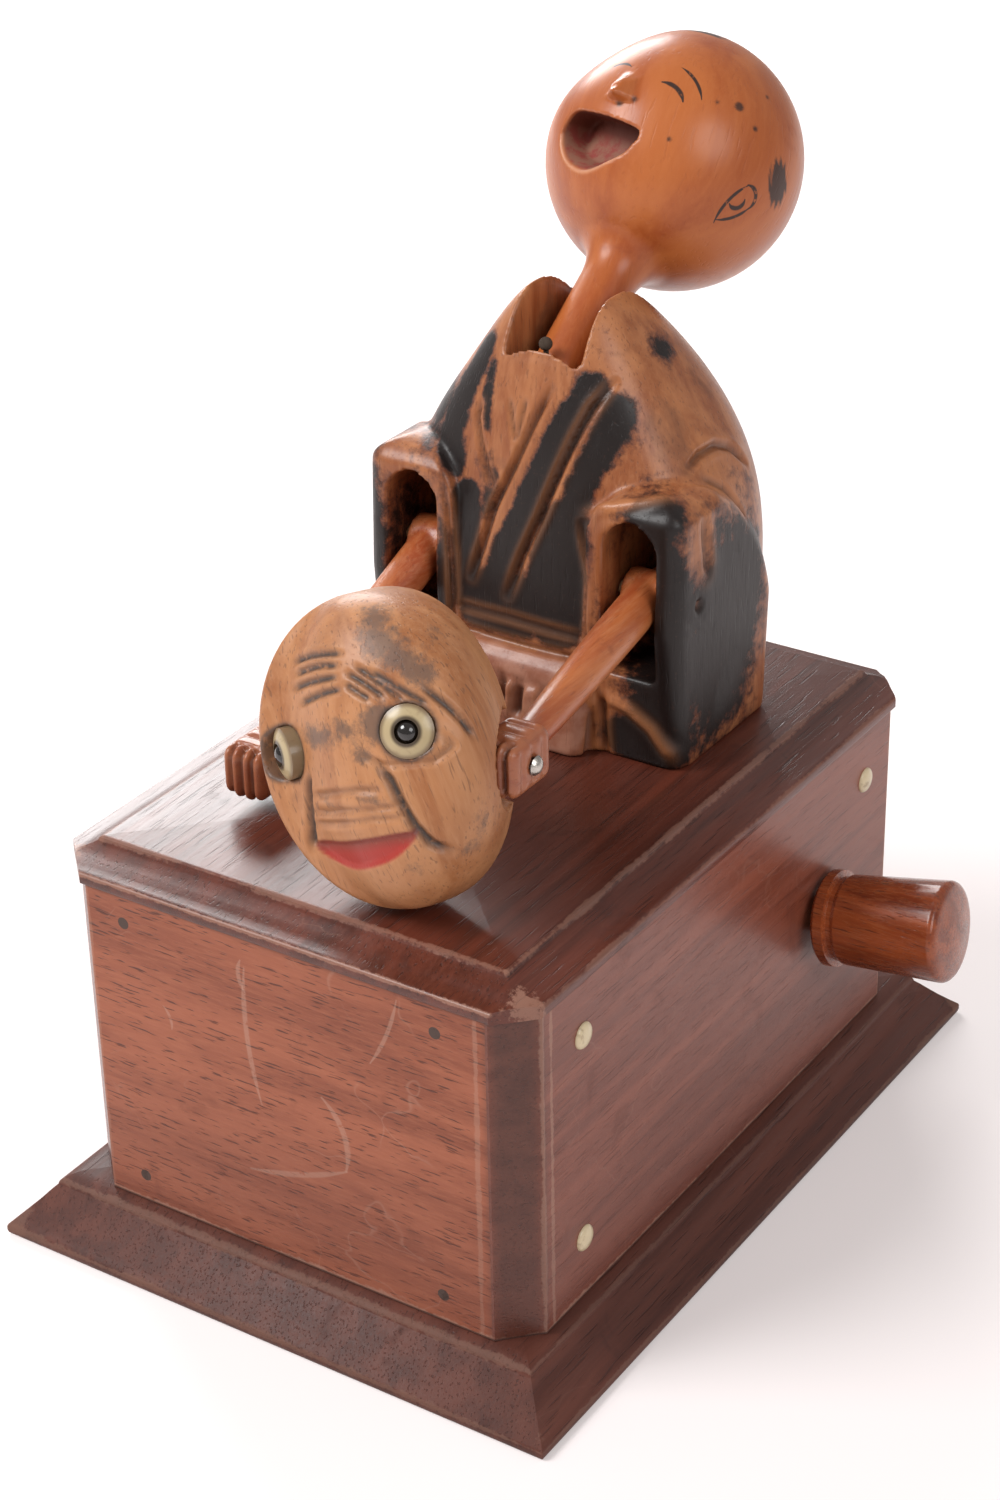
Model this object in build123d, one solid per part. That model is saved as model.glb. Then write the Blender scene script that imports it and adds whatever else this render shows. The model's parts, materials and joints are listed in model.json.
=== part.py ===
from build123d import *
import math
import os

# Hand-cranked wooden toy: a carved seated figure on a small box. Turning the
# knob winds three threads, which raise the two arms with the mask they hold
# and tip the head forward. Millimetres, +Z up, front is -Y, knob is on +X.
# Origin: centre of the base's underside.

# ---- box ----
body_width = 60.0            # across the side panels
body_depth = 84.6            # front to back
base_height = 7.0
panel_height = 39.4
lid_thickness = 3.4
side_thickness = 4.2
end_thickness = 4.0
corner_cut = 5.4             # chamfer of the box's upright corners
sharp_corner_cut = 3.9       # the front right one is cut less
base_overhang_x = 5.8
base_overhang_y = 6.2
base_lip = 1.1               # upright lip of the base moulding
base_arris_out = 1.4
base_arris_drop = 0.8
base_slope = 0.5             # how far the base's top runs in under the panels
base_toe_round = 0.5
base_bead_out = 0.25         # small step between the cove and the arris
base_bead_drop = 0.6
cove_sag = 0.1               # how far the base's cove bows in
lid_proud = 0.4
lid_field_inset = 4.4
lid_roll = 1.5               # height of the roll at the foot of the lid's edge
lid_roll_round = 0.5
lid_step = 0.5               # small step round the lid's field
lid_step_run = 0.3
lid_cove_in = 1.9            # where the lid's cove passes, in from the panel
lid_cove_rise = 0.45         # and above the roll
post_width = 9.0
post_depth = 11.0

# ---- pegs and nails of the box ----
peg_radius = 1.5
peg_length = 10.5
peg_proud = 0.6
peg_inset = 11.4             # from the box's front and back faces
peg_top_drop = 6.6           # below the panels' top
peg_foot_rise = 7.5
peg_hidden_rise = 10.0       # the one behind the knob sits a little higher
nail_radius = 0.7
nail_length = 9.0
nail_inset_x = 6.0
nail_rise = 3.4

# ---- spindle and knob ----
spindle_in = 16.1            # from the robe's front to where its axis leaves the right panel
spindle_z = 26.8
spindle_tilt = 8.5           # degrees up towards the knob
spindle_yaw = 3.7            # degrees back towards the knob
spindle_radius = 2.0
running_clearance = 0.08
bearing_depth = 2.4
knob_gap = 1.2
knob_length = 15.8
knob_foot_radius = 5.6
knob_foot_length = 1.5
knob_neck_radius = 4.9
knob_neck_length = 0.7
knob_root_radius = 5.2
knob_end_radius = 5.8
knob_dome = 1.6
knob_edge_cut = 0.4
knob_neck_step = 0.2
knob_root_step = 0.5
knob_dome_share = 0.72       # how full the dome is
knob_socket = 9.0
spindle_end_play = 0.3
drum_radius = 4.0
drum_flange_radius = 5.2
drum_length = 6.0
drum_flange = 1.0
stop_peg_radius = 0.8
stop_peg_length = 9.0
stop_peg_inset = 2.0         # from the right panel's inner face

# ---- threads ----
thread_radius = 0.3
thread_gap = 0.3
winding_thickness = 0.5
winding_width = 2.4
knot_radius = 0.75
thread_hole_radius = 2.0

# ---- robe ----
robe_half_width = 20.2
robe_depth = 31.2
robe_height = 49.5
robe_back_gap = 6.5          # from its back to the box's rear face
robe_fullness = 0.42         # share of the depth where it is widest
robe_roundness = 2.3         # of the back's curve, 2 is an ellipse
sleeve_x = 14.0
sleeve_slot_width = 6.6
sleeve_slot_rise = 9.7       # above the arms' pins
sleeve_slot_drop = 8.3       # and below them
sleeve_slot_depth = 17.4
sleeve_cover = 2.7           # wood above the slot
sleeve_inner_x = 8.6
sleeve_rim_round = 2.2
sleeve_front_out = 0.6       # in front of the robe
sleeve_foot_in = 0.6         # the foot leans back behind it
sleeve_depth = 22.4          # from the robe's front back to its last trace
shoulder_in = 4.4            # from the robe's front to the arms' pins
shoulder_z = 68.7
arm_pin_radius = 0.8
arm_pin_sunk = 0.8
collar_slot_width = 9.4
collar_in = 5.0              # from the robe's front
collar_clearance = 0.5       # about the neck
neck_pin_in = 8.6            # from the robe's front
neck_pin_z = 90.0
neck_pin_radius = 0.8
neck_pin_reach = 8.6         # half its length
robe_dowel_radius = 2.0
robe_dowel_in = 23.4         # from the robe's front
robe_dowel_x = 9.0
robe_dowel_rise = 8.0
shin_radius = 2.4
shin_reach = 9.4
shin_rise = 8.4              # its axis above the lid
shin_in = 0.3                # its axis behind the robe's front
toe_width = 18.0
toe_depth = 8.0
toe_height = 7.2
toe_round = 2.0
toe_out = 2.6                # in front of the robe

# ---- arms ----
arm_length = 35.0            # pin to hand nail
arm_root_radius = 2.35
shoulder_radius = 2.6        # round boss about the pin
shoulder_width = 4.6
arm_middle_radius = 2.2
arm_wrist_radius = 1.65
right_arm_pitch = 4.8        # degrees below level at rest
left_arm_pitch = 24.2
right_arm_splay = 7.4        # degrees outward
left_arm_splay = 2.5
tail_length = 8.0            # pin to the thread's hole
tail_end_wood = 1.8          # beyond the hole
tail_thickness = 2.6
wrist_overlap = 1.4          # how far the forearm reaches into the fist
fist_width = 5.4
fist_length = 7.6
fist_height = 6.2
fist_round = 1.5
finger_groove = 0.35
hand_nail_radius = 0.6
hand_nail_head = 1.05
hand_nail_rise = 0.6
hand_nail_stand = 0.25       # head's foot outside the fist

# ---- mask ----
mask_width = 25.4
mask_height = 32.4
mask_depth = 8.6             # from its widest outline forward
mask_back = 8.0              # and from there back
mask_swell = 0.045           # wider above the middle
mask_taper = 0.26            # the sides draw in towards the back
mask_cheek = 0.72            # how full its front curve is
mask_flow = 0.8              # how fast its depth dies out to crown and chin
mask_lean = 14.0             # degrees, top back
mask_roll = 24.0             # degrees, top towards the left hand
mask_aside = 5.8             # its middle from the middle between the hands
mask_forward = 6.3
mask_rise = 5.9
mask_dish_radius = 15.0      # shallow dish behind, to fit over a face
mask_dish_depth = 3.4
hand_hollow = 5.2            # round hollow in the mask's side, about the right hand
right_nail_reach = 6.5       # inside the fist
left_nail_reach = 1.0
left_hole_reach = 12.5       # hole in the mask's other side, measured the same way
eye_radius = 2.7
eye_thickness = 1.4
eye_dome = 0.7
pupil_radius = 1.2
pupil_dome = 0.9
eye_spread = 8.4
eye_rise = 1.8
eye_turn = 30.0              # degrees outward
eye_sink = 0.1

# ---- head ----
head_tilt = 55.6             # degrees back from upright at rest
neck_to_head = 29.7          # pin to the ball's centre
head_radius = 14.4
neck_radius = 3.1
neck_flare = 5.4             # radius where the neck meets the ball
neck_flare_length = 4.6
neck_thread_forward = 2.3
thread_eye_radius = 0.6      # holes that the threads are tied through
face_turn = 12.0              # degrees towards the left hand
mouth_fall = 32.0            # degrees below the ball's middle
mouth_width = 7.6
lip_bow = 0.4
mouth_drop = 4.8
mouth_depth = 4.5
nose_rise = -12.0
nose_turn = 3.4              # degrees towards the left hand
nose_width = 3.6
nose_bridge = 1.2            # its width between the eyes
nose_height = 3.8
nose_reach = 1.5
nose_tip_width = 1.6
nose_tip_height = 1.0
nose_sunk = 1.0              # how deep its foot stands in the ball

# ---- places worked out from the sizes above ----
half_width = body_width / 2
half_depth = body_depth / 2
panel_top = base_height + panel_height
lid_top = panel_top + lid_thickness
side_inner = half_width - side_thickness
end_inner = half_depth - end_thickness
spindle_slopes = [math.tan(math.radians(angle)) for angle in (spindle_yaw, spindle_tilt)]
spindle_dir = Vector(1, *spindle_slopes).normalized()
robe_front = half_depth - robe_back_gap - robe_depth
shoulder_y = robe_front + shoulder_in
neck_pin_y = robe_front + neck_pin_in
robe_dowel_y = robe_front + robe_dowel_in
sleeve_slot_top = shoulder_z + sleeve_slot_rise
sleeve_slot_foot = shoulder_z - sleeve_slot_drop
sleeve_top = sleeve_slot_top + sleeve_cover
spindle_out = Vector(half_width, robe_front + spindle_in, spindle_z)
reach = 4 * body_depth       # longer than the whole toy, for cutting tools


def spindle_point(x):
    """Point of the spindle's axis at a given x."""
    return spindle_out + spindle_dir * ((x - half_width) / spindle_dir.X)


def on_spindle(shape, x):
    """Stand a shape made round Z on the spindle's axis at x."""
    return Plane(origin=spindle_point(x), z_dir=spindle_dir) * shape


def rod(radius, start, end):
    """Round rod from one point to another."""
    start, end = Vector(*start), Vector(*end)
    axis = end - start
    body = Cylinder(radius, axis.length, align=(Align.CENTER, Align.CENTER, Align.MIN))
    return Plane(origin=start, z_dir=axis) * body


def box_outline(grow=0.0):
    """Plan of the box with its four chamfered corners."""
    x, y = half_width + grow, half_depth + grow
    ring = []
    for sx, sy in ((1, 1), (-1, 1), (-1, -1), (1, -1)):
        cut = sharp_corner_cut if sx > sy else corner_cut
        corner = [(sx * x, sy * (y - cut)), (sx * (x - cut), sy * y)]
        ring += corner if sx == sy else corner[::-1]
    return make_face(Polyline(*ring, close=True))


def cross_board(profile, sizes):
    """Board whose four edges carry one moulding, mitred at the corners."""
    along_y = extrude(Plane.XZ * mirrored(profile(sizes[0])), reach, both=True)
    along_x = extrude(Plane.YZ * mirrored(profile(sizes[1])), reach, both=True)
    return along_y & along_x


def mirrored(half):
    return half + mirror(half, about=Plane.YZ)


# ---- box ----
def base_profile(edge):
    over = base_overhang_x if edge == half_width else base_overhang_y
    top = edge + base_arris_out
    arris = base_height - base_arris_drop
    lip = edge + over
    bend = ((top + lip) / 2 + cove_sag, (arris + base_lip) / 2 - cove_sag)
    bead = (top + base_bead_out, arris - base_bead_drop)
    lines = Polyline((top, arris), (edge - base_slope, base_height), (0, base_height), (0, 0),
                     (lip - base_toe_round, 0), (lip, base_toe_round), (lip, base_lip))
    cove = Spline((lip, base_lip), bend, bead, tangents=[(-0.75, 1), (-0.25, 1)])
    return make_face(Curve() + [lines, cove, Line(bead, (top, arris))])


def make_base():
    return cross_board(base_profile, (half_width, half_depth))


def lid_profile(edge):
    foot = edge + lid_proud
    field = edge - lid_field_inset
    step = (field + lid_step_run, lid_thickness - lid_step)
    roll = (foot - lid_roll_round, lid_roll)
    lines = Polyline(roll, (foot, lid_roll - lid_roll_round), (foot, 0), (0, 0),
                     (0, lid_thickness), (field, lid_thickness), step)
    cove = Spline(step, (edge - lid_cove_in, lid_roll + lid_cove_rise), roll,
                  tangents=[(1, -0.5), (1, -0.45)])
    return make_face(Curve() + [lines, cove])


def make_lid():
    lid = Pos(0, 0, panel_top) * cross_board(lid_profile, (half_width, half_depth))
    lid &= Pos(0, 0, panel_top) * extrude(box_outline(lid_proud), lid_thickness)
    for start, end in thread_routes():
        lid -= rod(thread_hole_radius, start, end)
    for x in (-robe_dowel_x, robe_dowel_x):
        lid -= rod(robe_dowel_radius, (x, robe_dowel_y, panel_top), (x, robe_dowel_y, lid_top))
    return lid


def make_end_panel(side):
    board = Box(2 * side_inner, end_thickness, 2 * panel_top)
    board = Pos(0, side * (half_depth - end_thickness / 2), 0) * board
    return (box_block() & board) - end_nails(side)


def make_side_panel(side):
    board = Box(side_thickness, body_depth, 2 * panel_top)
    board = Pos(side * (half_width - side_thickness / 2), 0, 0) * board
    panel = (box_block() & board) - side_pegs(side, proud=False)
    bore = spindle_radius + running_clearance
    if side > 0:
        ends = (side_inner - side_thickness, half_width + side_thickness)
    else:
        ends = (-side_inner - bearing_depth, -side_inner + side_thickness)
    return panel - rod(bore, *[spindle_point(x) for x in ends])


def box_block():
    """The box's walls and inside as one block, to cut its boards from."""
    return Pos(0, 0, base_height) * extrude(box_outline(), panel_height)


def peg_places(side):
    y = half_depth - peg_inset
    top, foot = panel_top - peg_top_drop, base_height + peg_foot_rise
    rear_foot = base_height + peg_hidden_rise if side > 0 else foot
    return [(-y, top), (-y, foot), (y, top), (y, rear_foot)]


def side_pegs(side, proud=True):
    pegs = []
    for y, z in peg_places(side):
        inner = side * (half_width - peg_length)
        peg = rod(peg_radius, (inner, y, z), (side * half_width, y, z))
        if proud:
            peg += dome(peg_radius, peg_proud, (side * half_width, y, z), (side, 0, 0))
        pegs.append(peg)
    return pegs


def dome(radius, height, foot, direction):
    """Low round head standing on a flat place."""
    ball = (radius ** 2 + height ** 2) / (2 * height)
    cap = Pos(0, 0, height - ball) * Sphere(ball)
    cap &= Cylinder(radius, height, align=(Align.CENTER, Align.CENTER, Align.MIN))
    return Plane(origin=foot, z_dir=direction) * cap


def end_nails(side):
    nails = []
    for x in (-side_inner + nail_inset_x, side_inner - nail_inset_x):
        for z in (base_height + nail_rise, panel_top - nail_rise):
            y = side * half_depth
            nails.append(rod(nail_radius, (x, y - side * nail_length, z), (x, y, z)))
    return nails


def make_posts():
    posts = []
    for sx in (-1, 1):
        for sy in (-1, 1):
            post = Box(post_width, post_depth, panel_height)
            x = sx * (side_inner - post_width / 2)
            y = sy * (end_inner - post_depth / 2)
            post = Pos(x, y, base_height + panel_height / 2) * post
            post -= side_pegs(sx, proud=False)
            post -= end_nails(sy)
            posts.append(post)
    return posts


# ---- spindle, knob and threads ----
def make_spindle():
    body = rod(spindle_radius, spindle_point(-side_inner - bearing_depth + spindle_end_play),
               spindle_point(half_width + knob_gap) + spindle_dir * knob_socket)
    return body - make_stop_peg()


def make_stop_peg():
    centre = spindle_point(side_inner - stop_peg_inset)
    across = Vector(0, 1, 0)
    half = across * (stop_peg_length / 2)
    return rod(stop_peg_radius, centre - half, centre + half)


def make_knob():
    neck = knob_foot_length + knob_neck_length
    end = knob_length - knob_dome
    lines = Polyline((0, 0), (knob_foot_radius - knob_edge_cut, 0), (knob_foot_radius, knob_edge_cut),
                     (knob_foot_radius, knob_foot_length),
                     (knob_neck_radius, knob_foot_length + knob_neck_step), (knob_neck_radius, neck),
                     (knob_root_radius, neck + knob_root_step), (knob_end_radius, end))
    shoulder = (knob_end_radius * knob_dome_share, end + knob_dome * knob_dome_share)
    cap = Spline((knob_end_radius, end), shoulder, (0, knob_length), tangents=[(0.1, 1), (-1, 0)])
    face = make_face(Plane.XZ * (Curve() + [lines, cap, Line((0, knob_length), (0, 0))]))
    knob = revolve(face, Axis.Z)
    knob -= Cylinder(spindle_radius, 2 * knob_socket)
    return on_spindle(knob, half_width + knob_gap)


def make_drum(x):
    drum = Cylinder(drum_flange_radius, drum_length)
    groove = Cylinder(drum_flange_radius + 1, drum_length - 2 * drum_flange)
    drum -= groove - Cylinder(drum_radius, drum_length)
    drum -= Cylinder(spindle_radius, 2 * drum_length)
    return on_spindle(drum, x)


def make_winding(x, inner):
    ring = Cylinder(inner + winding_thickness, winding_width)
    return on_spindle(ring - Cylinder(inner, 2 * winding_width), x)


def tail_end(side):
    """Where an arm's thread leaves its tail, at rest."""
    return (arm_frame(side) * Pos(0, tail_length, 0)).position


def neck_thread_end():
    """Where the head's thread leaves the foot of the neck, at rest."""
    return Vector(0, neck_pin_y - neck_thread_forward, neck_pin_z)


def thread_routes():
    routes = []
    for side in (1, -1):
        axis = spindle_point(side * sleeve_x)
        foot = axis - Vector(0, drum_radius + winding_thickness + thread_radius + thread_gap, 0)
        routes.append((foot, tail_end(side)))
    axis = spindle_point(0)
    foot = axis - Vector(0, spindle_radius + winding_thickness + thread_radius + thread_gap, 0)
    routes.append((foot, neck_thread_end()))
    return routes


def make_thread(route, above):
    """Taut thread with the knot that holds it on top of its hole."""
    start, end = route
    run = (end - start).normalized()
    knot = end + run * (above + knot_radius + 0.25)
    return rod(thread_radius, start, knot) + Pos(*knot) * Sphere(knot_radius)


# ---- robe ----
def robe_section(rise, width, front, back, corner):
    """Closed plan outline, squarer in front and round behind; all but the corner are shares."""
    half = width * robe_half_width
    z = lid_top + rise * robe_height
    low, high = robe_front + front * robe_depth, robe_front + back * robe_depth
    middle = low + robe_fullness * (high - low)
    points = []
    steps = 16
    for i in range(steps):
        angle = 2 * math.pi * (i + 0.5) / steps
        c, s = math.cos(angle), math.sin(angle)
        power = 2 / (corner if s < 0 else robe_roundness)
        x = half * math.copysign(abs(c) ** power, c)
        depth = (middle - low) if s < 0 else (high - middle)
        points.append(Vector(x, middle + depth * math.copysign(abs(s) ** power, s), z))
    return make_face(Spline(*points, periodic=True))


def make_robe():
    robe = loft([
        robe_section(0, 0.99, 0.013, 0.926, 3.2),
        robe_section(0.162, 1.0, 0, 0.974, 3.2),
        robe_section(0.404, 0.985, 0.013, 1.0, 3.2),
        robe_section(0.566, 0.92, 0.045, 0.974, 3.2),
        robe_section(0.707, 0.76, 0.083, 0.91, 2.8),
        robe_section(0.828, 0.56, 0.128, 0.798, 2.5),
        robe_section(0.929, 0.38, 0.186, 0.654, 2.3),
        robe_section(1, 0.2, 0.269, 0.526, 2.2),
    ])
    for side in (-1, 1):
        robe += make_sleeve(side)
    robe += make_lap()
    for side in (-1, 1):
        robe -= sleeve_slot(side)
        robe -= arm_pin(side)
    robe -= collar_cut()
    robe -= neck_pin()
    for start, end in thread_routes():
        robe -= rod(thread_hole_radius, start - (end - start) * 0.2, end)
    return robe - robe_dowels()


def make_sleeve(side):
    """Hanging sleeve: a slab with an arched top that stands out from the trunk."""
    rise = sleeve_top - lid_top

    def at(back, up):
        return (robe_front - sleeve_front_out + back * sleeve_depth, lid_top + up * rise)

    foot = (robe_front + sleeve_foot_in, lid_top)
    face = Polyline(foot, at(0, 0.518), at(0.026, 0.936))
    arch = Spline(at(0.026, 0.936), at(0.113, 0.994), at(0.283, 1.01), at(0.522, 0.939),
                  at(0.783, 0.776), at(1, 0.457))
    heel = Polyline(at(1, 0.457), at(0.957, 0), foot)
    slab = extrude(Plane.YZ * make_face(Curve() + [face, arch, heel]), robe_half_width - sleeve_inner_x)
    slab = Pos(sleeve_inner_x, 0, 0) * slab
    outer = slab.faces().sort_by(Axis.X)[-1].edges()
    slab = fillet(outer.sort_by(Axis.Z)[1:], sleeve_rim_round)
    slab &= Pos(0, reach / 2, 0) * extrude(Plane.XZ * sleeve_arch(), reach)
    return slab if side > 0 else mirror(slab, about=Plane.YZ)


def sleeve_arch():
    """Front view of a sleeve: straight sides under a round top that is highest at the arm."""
    inner, outer = sleeve_inner_x, robe_half_width + 1
    low = sleeve_top - 5 * sleeve_cover / 3
    sides = Polyline((inner, low), (inner, 0), (outer, 0), (outer, low))
    high = sleeve_top + sleeve_cover / 7
    inside, outside = (inner + sleeve_x) / 2, (outer + sleeve_x) / 2
    crown = Spline((outer, low), (outside + 0.8, (low + 4 * high) / 5), (sleeve_x, high),
                   (inside - 0.9, (low + 2 * high) / 3), (inner, low))
    return make_face(Curve() + [sides, crown])


def make_lap():
    """Crossed shins and toes under the hem of the robe's front."""
    y, z = robe_front + shin_in, lid_top + shin_rise
    shin = rod(shin_radius, (-shin_reach, y, z), (shin_reach, y, z))
    plan = Pos(0, robe_front - toe_out + toe_depth / 2) * RectangleRounded(toe_width, toe_depth, toe_round)
    return shin + extrude(Plane.XY.offset(lid_top) * plan, toe_height)


def sleeve_slot(side):
    arch = sleeve_slot_width / 2
    flat = sleeve_slot_top - arch
    height = flat - sleeve_slot_foot
    face = Pos(0, sleeve_slot_foot + height / 2) * Rectangle(sleeve_slot_width, height)
    face += Pos(0, flat) * Circle(arch)
    slot = extrude(Plane.XZ * face, -(robe_front + sleeve_slot_depth))
    return Pos(side * sleeve_x, 0, 0) * slot


def collar_cut():
    """Slot for the neck: open at the top, sloped where the neck lies back."""
    tilt = math.radians(head_tilt)
    clear = neck_radius + collar_clearance
    under = (neck_pin_y + clear * math.cos(tilt), neck_pin_z - clear * math.sin(tilt))
    far = (under[0] + robe_height * math.sin(tilt), under[1] + robe_height * math.cos(tilt))
    floor = neck_pin_z - clear
    front = robe_front + collar_in
    face = make_face(Polyline((front, floor), under, far, (far[0], far[1] + robe_height),
                              (front, far[1] + robe_height), close=True))
    bottom = make_face(Polyline((front, neck_pin_z), (front, floor), (neck_pin_y, floor),
                                under, (neck_pin_y + clear, neck_pin_z), close=True))
    return extrude(Plane.YZ * (face + bottom), collar_slot_width / 2, both=True)


def arm_pin(side):
    outer = side * (robe_half_width - arm_pin_sunk)
    inner = side * (sleeve_x - sleeve_slot_width / 2 - 3.0)
    return rod(arm_pin_radius, (inner, shoulder_y, shoulder_z), (outer, shoulder_y, shoulder_z))


def neck_pin():
    ends = [(x, neck_pin_y, neck_pin_z) for x in (-neck_pin_reach, neck_pin_reach)]
    return rod(neck_pin_radius, *ends)


def robe_dowels():
    return [rod(robe_dowel_radius, (x, robe_dowel_y, panel_top), (x, robe_dowel_y, lid_top + robe_dowel_rise))
            for x in (-robe_dowel_x, robe_dowel_x)]


# ---- arms ----
def arm_pitch(side):
    return right_arm_pitch if side > 0 else left_arm_pitch


def arm_frame(side):
    """Frame on an arm's pin, its -Y along the arm before the splay."""
    return Pos(side * sleeve_x, shoulder_y, shoulder_z) * Rot(arm_pitch(side), 0, 0)


def hand_frame(side):
    """Frame at the middle of a fist, its -Y along the arm."""
    splay = right_arm_splay if side > 0 else left_arm_splay
    return arm_frame(side) * Rot(0, 0, side * splay) * Pos(0, -arm_length, 0)


def hand_point(side):
    """Centre of the hand nail at rest."""
    return hand_frame(side).position


def make_arm(side):
    """Tapered arm with a fist, held level, and a squared tail behind the pin."""
    wrist = arm_length - fist_length / 2 + wrist_overlap
    limb = loft([Plane.XZ.offset(wrist - arm_length) * Circle(arm_wrist_radius),
                 Plane.XZ.offset(-arm_length / 2) * Circle(arm_middle_radius),
                 Plane.XZ.offset(-arm_length) * Circle(arm_root_radius)])
    arm = hand_frame(side) * limb + Pos(hand_point(side)) * make_fist(side)
    tail_box = Box(tail_thickness, tail_length + tail_end_wood, tail_thickness,
                   align=(Align.CENTER, Align.MIN, Align.CENTER))
    shoulder = Cylinder(shoulder_radius, shoulder_width, rotation=(0, 90, 0))
    arm += arm_frame(side) * (tail_box + shoulder)
    tail = tail_end(side)
    arm -= rod(thread_eye_radius, tail - Vector(0, 0, fist_height), tail + Vector(0, 0, fist_height))
    pin_hole = Cylinder(arm_pin_radius + running_clearance, 2 * sleeve_slot_width, rotation=(0, 90, 0))
    arm -= arm_frame(side) * pin_hole
    bore = hand_nail_radius + (running_clearance if side > 0 else 0.0)
    point, across = hand_point(side), Vector(2 * fist_width, 0, 0)
    return arm - rod(bore, point - across, point + across)


def make_fist(side):
    """Closed hand with three grooves between its four fingers."""
    block = Box(fist_width, fist_length, fist_height)
    block = fillet(block.edges(), fist_round)
    for i in (1, 2, 3):
        y = fist_length * (i / 4 - 0.5)
        for z in (-fist_height / 2, fist_height / 2):
            block -= rod(finger_groove, (-fist_width, y, z), (fist_width, y, z))
        for x in (-fist_width / 2, fist_width / 2):
            block -= rod(finger_groove, (x, y, -fist_height), (x, y, fist_height))
    return block


def hand_nail(side):
    """Nail through a hand into the mask's side, with a low round head outside."""
    point = hand_point(side)
    outer = point + Vector(side * (fist_width / 2 + hand_nail_stand), 0, 0)
    reach_in = fist_width / 2 + (right_nail_reach if side > 0 else left_nail_reach)
    nail = rod(hand_nail_radius, point - Vector(side * reach_in, 0, 0), outer)
    return nail + dome(hand_nail_head, hand_nail_rise, outer, (side, 0, 0))


# ---- mask ----
def mask_place():
    """Frame at the middle of the mask's widest outline, its -Y outward."""
    middle = (hand_point(1) + hand_point(-1)) / 2 + Vector(mask_aside, -mask_forward, mask_rise)
    return Pos(middle) * Rot(0, -mask_roll, 0) * Rot(-mask_lean, 0, 0)


def mask_section(t):
    """D-shaped slice of the mask at t, from -1 at the chin to 1 at the crown."""
    full = math.sqrt(1 - t * t)
    half = mask_width / 2 * full * (1 + mask_swell * t)
    bulge = mask_depth * full ** mask_flow
    back = mask_back * math.sqrt(full)
    rim = half * (1 - mask_taper)
    cheek, fall = half * mask_cheek, -bulge * mask_cheek
    front = Spline((half, 0), (cheek, fall), (0, -bulge), (-cheek, fall), (-half, 0),
                   tangents=[(0, -1), (0, 1)])
    left = Spline((-half, 0), (-rim, back), tangents=[(0, 1), (0.5, 1)])
    right = Spline((rim, back), (half, 0), tangents=[(0.5, -1), (0, -1)])
    face = make_face(Curve() + [front, left, Line((-rim, back), (rim, back)), right])
    return Plane.XY.offset(t * mask_height / 2) * face


def eye_frame(side):
    """Frame on the mask's front at an eye, its Z outward."""
    across, up = 2 * eye_spread / mask_width, 2 * eye_rise / mask_height
    depth = mask_depth * math.sqrt(1 - across ** 2 - up ** 2) + eye_sink
    return Pos(side * eye_spread, -depth, eye_rise) * Rot(90, 0, 0) * Rot(0, side * eye_turn, 0)


def make_mask():
    """Carved face, dished behind, with sockets for its eyes and holes for the nails."""
    levels = (-0.995, -0.94, -0.78, -0.5, -0.1, 0.3, 0.62, 0.84, 0.95, 0.995)
    mask = loft([mask_section(t) for t in levels])
    mask -= Pos(0, mask_back - mask_dish_depth + mask_dish_radius, 0) * Sphere(mask_dish_radius)
    for side in (-1, 1):
        mask -= eye_frame(side) * Cylinder(eye_radius, 2 * eye_thickness)
    mask = mask_place() * mask
    right, left = hand_point(1), hand_point(-1)
    mask -= Pos(right) * Sphere(hand_hollow)
    mask -= rod(hand_nail_radius, right - Vector(fist_width / 2 + right_nail_reach, 0, 0), right)
    return mask - rod(hand_nail_radius, left, left + Vector(fist_width / 2 + left_hole_reach, 0, 0))


def make_eye(side):
    """Round plug with a low dome, bored for its pupil."""
    disc = Cylinder(eye_radius, eye_thickness)
    disc += dome(eye_radius, eye_dome, (0, 0, eye_thickness / 2), (0, 0, 1))
    disc -= Cylinder(pupil_radius, 4 * eye_thickness)
    return mask_place() * eye_frame(side) * Pos(0, 0, -eye_thickness / 2) * disc


def make_pupil(side):
    pupil = Cylinder(pupil_radius, eye_thickness)
    pupil += dome(pupil_radius, pupil_dome, (0, 0, eye_thickness / 2), (0, 0, 1))
    return mask_place() * eye_frame(side) * Pos(0, 0, -eye_thickness / 2) * pupil


# ---- head ----
def head_place():
    return Pos(0, neck_pin_y, neck_pin_z) * Rot(-head_tilt, 0, 0)


def make_head():
    """Ball head, neck and its rounded foot, turned in one piece about its own axis."""
    join = neck_to_head - math.sqrt(head_radius ** 2 - neck_flare ** 2)
    crown = neck_to_head + head_radius
    ball = ThreePointArc((neck_flare, join), (head_radius, neck_to_head), (0, crown))
    flare = Spline((neck_radius, join - neck_flare_length), (neck_flare, join), tangents=[(0, 1), (1, 0.6)])
    stem = Line((neck_radius, 0), (neck_radius, join - neck_flare_length))
    foot = ThreePointArc((0, -neck_radius), (neck_radius * math.sqrt(0.5), -neck_radius * math.sqrt(0.5)),
                         (neck_radius, 0))
    axis = Line((0, crown), (0, -neck_radius))
    body = revolve(make_face(Plane.XZ * (Curve() + [foot, stem, flare, ball, axis])), Axis.Z)
    body = body - mouth_cut() + nose()
    head = head_place() * body
    pin_ends = [(x, neck_pin_y, neck_pin_z) for x in (-head_radius, head_radius)]
    head -= rod(neck_pin_radius + running_clearance, *pin_ends)
    start, end = thread_routes()[2]
    return head - rod(thread_eye_radius, start, end + (end - start).normalized() * 2 * neck_radius)


def on_face(turn_left, rise):
    """Frame on the ball's front, its -Y outward, at two angles from the ball's middle."""
    turn = Rot(0, 0, -turn_left) * Rot(-rise, 0, 0)
    return Pos(0, 0, neck_to_head) * turn * Pos(0, -head_radius, 0)


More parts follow.
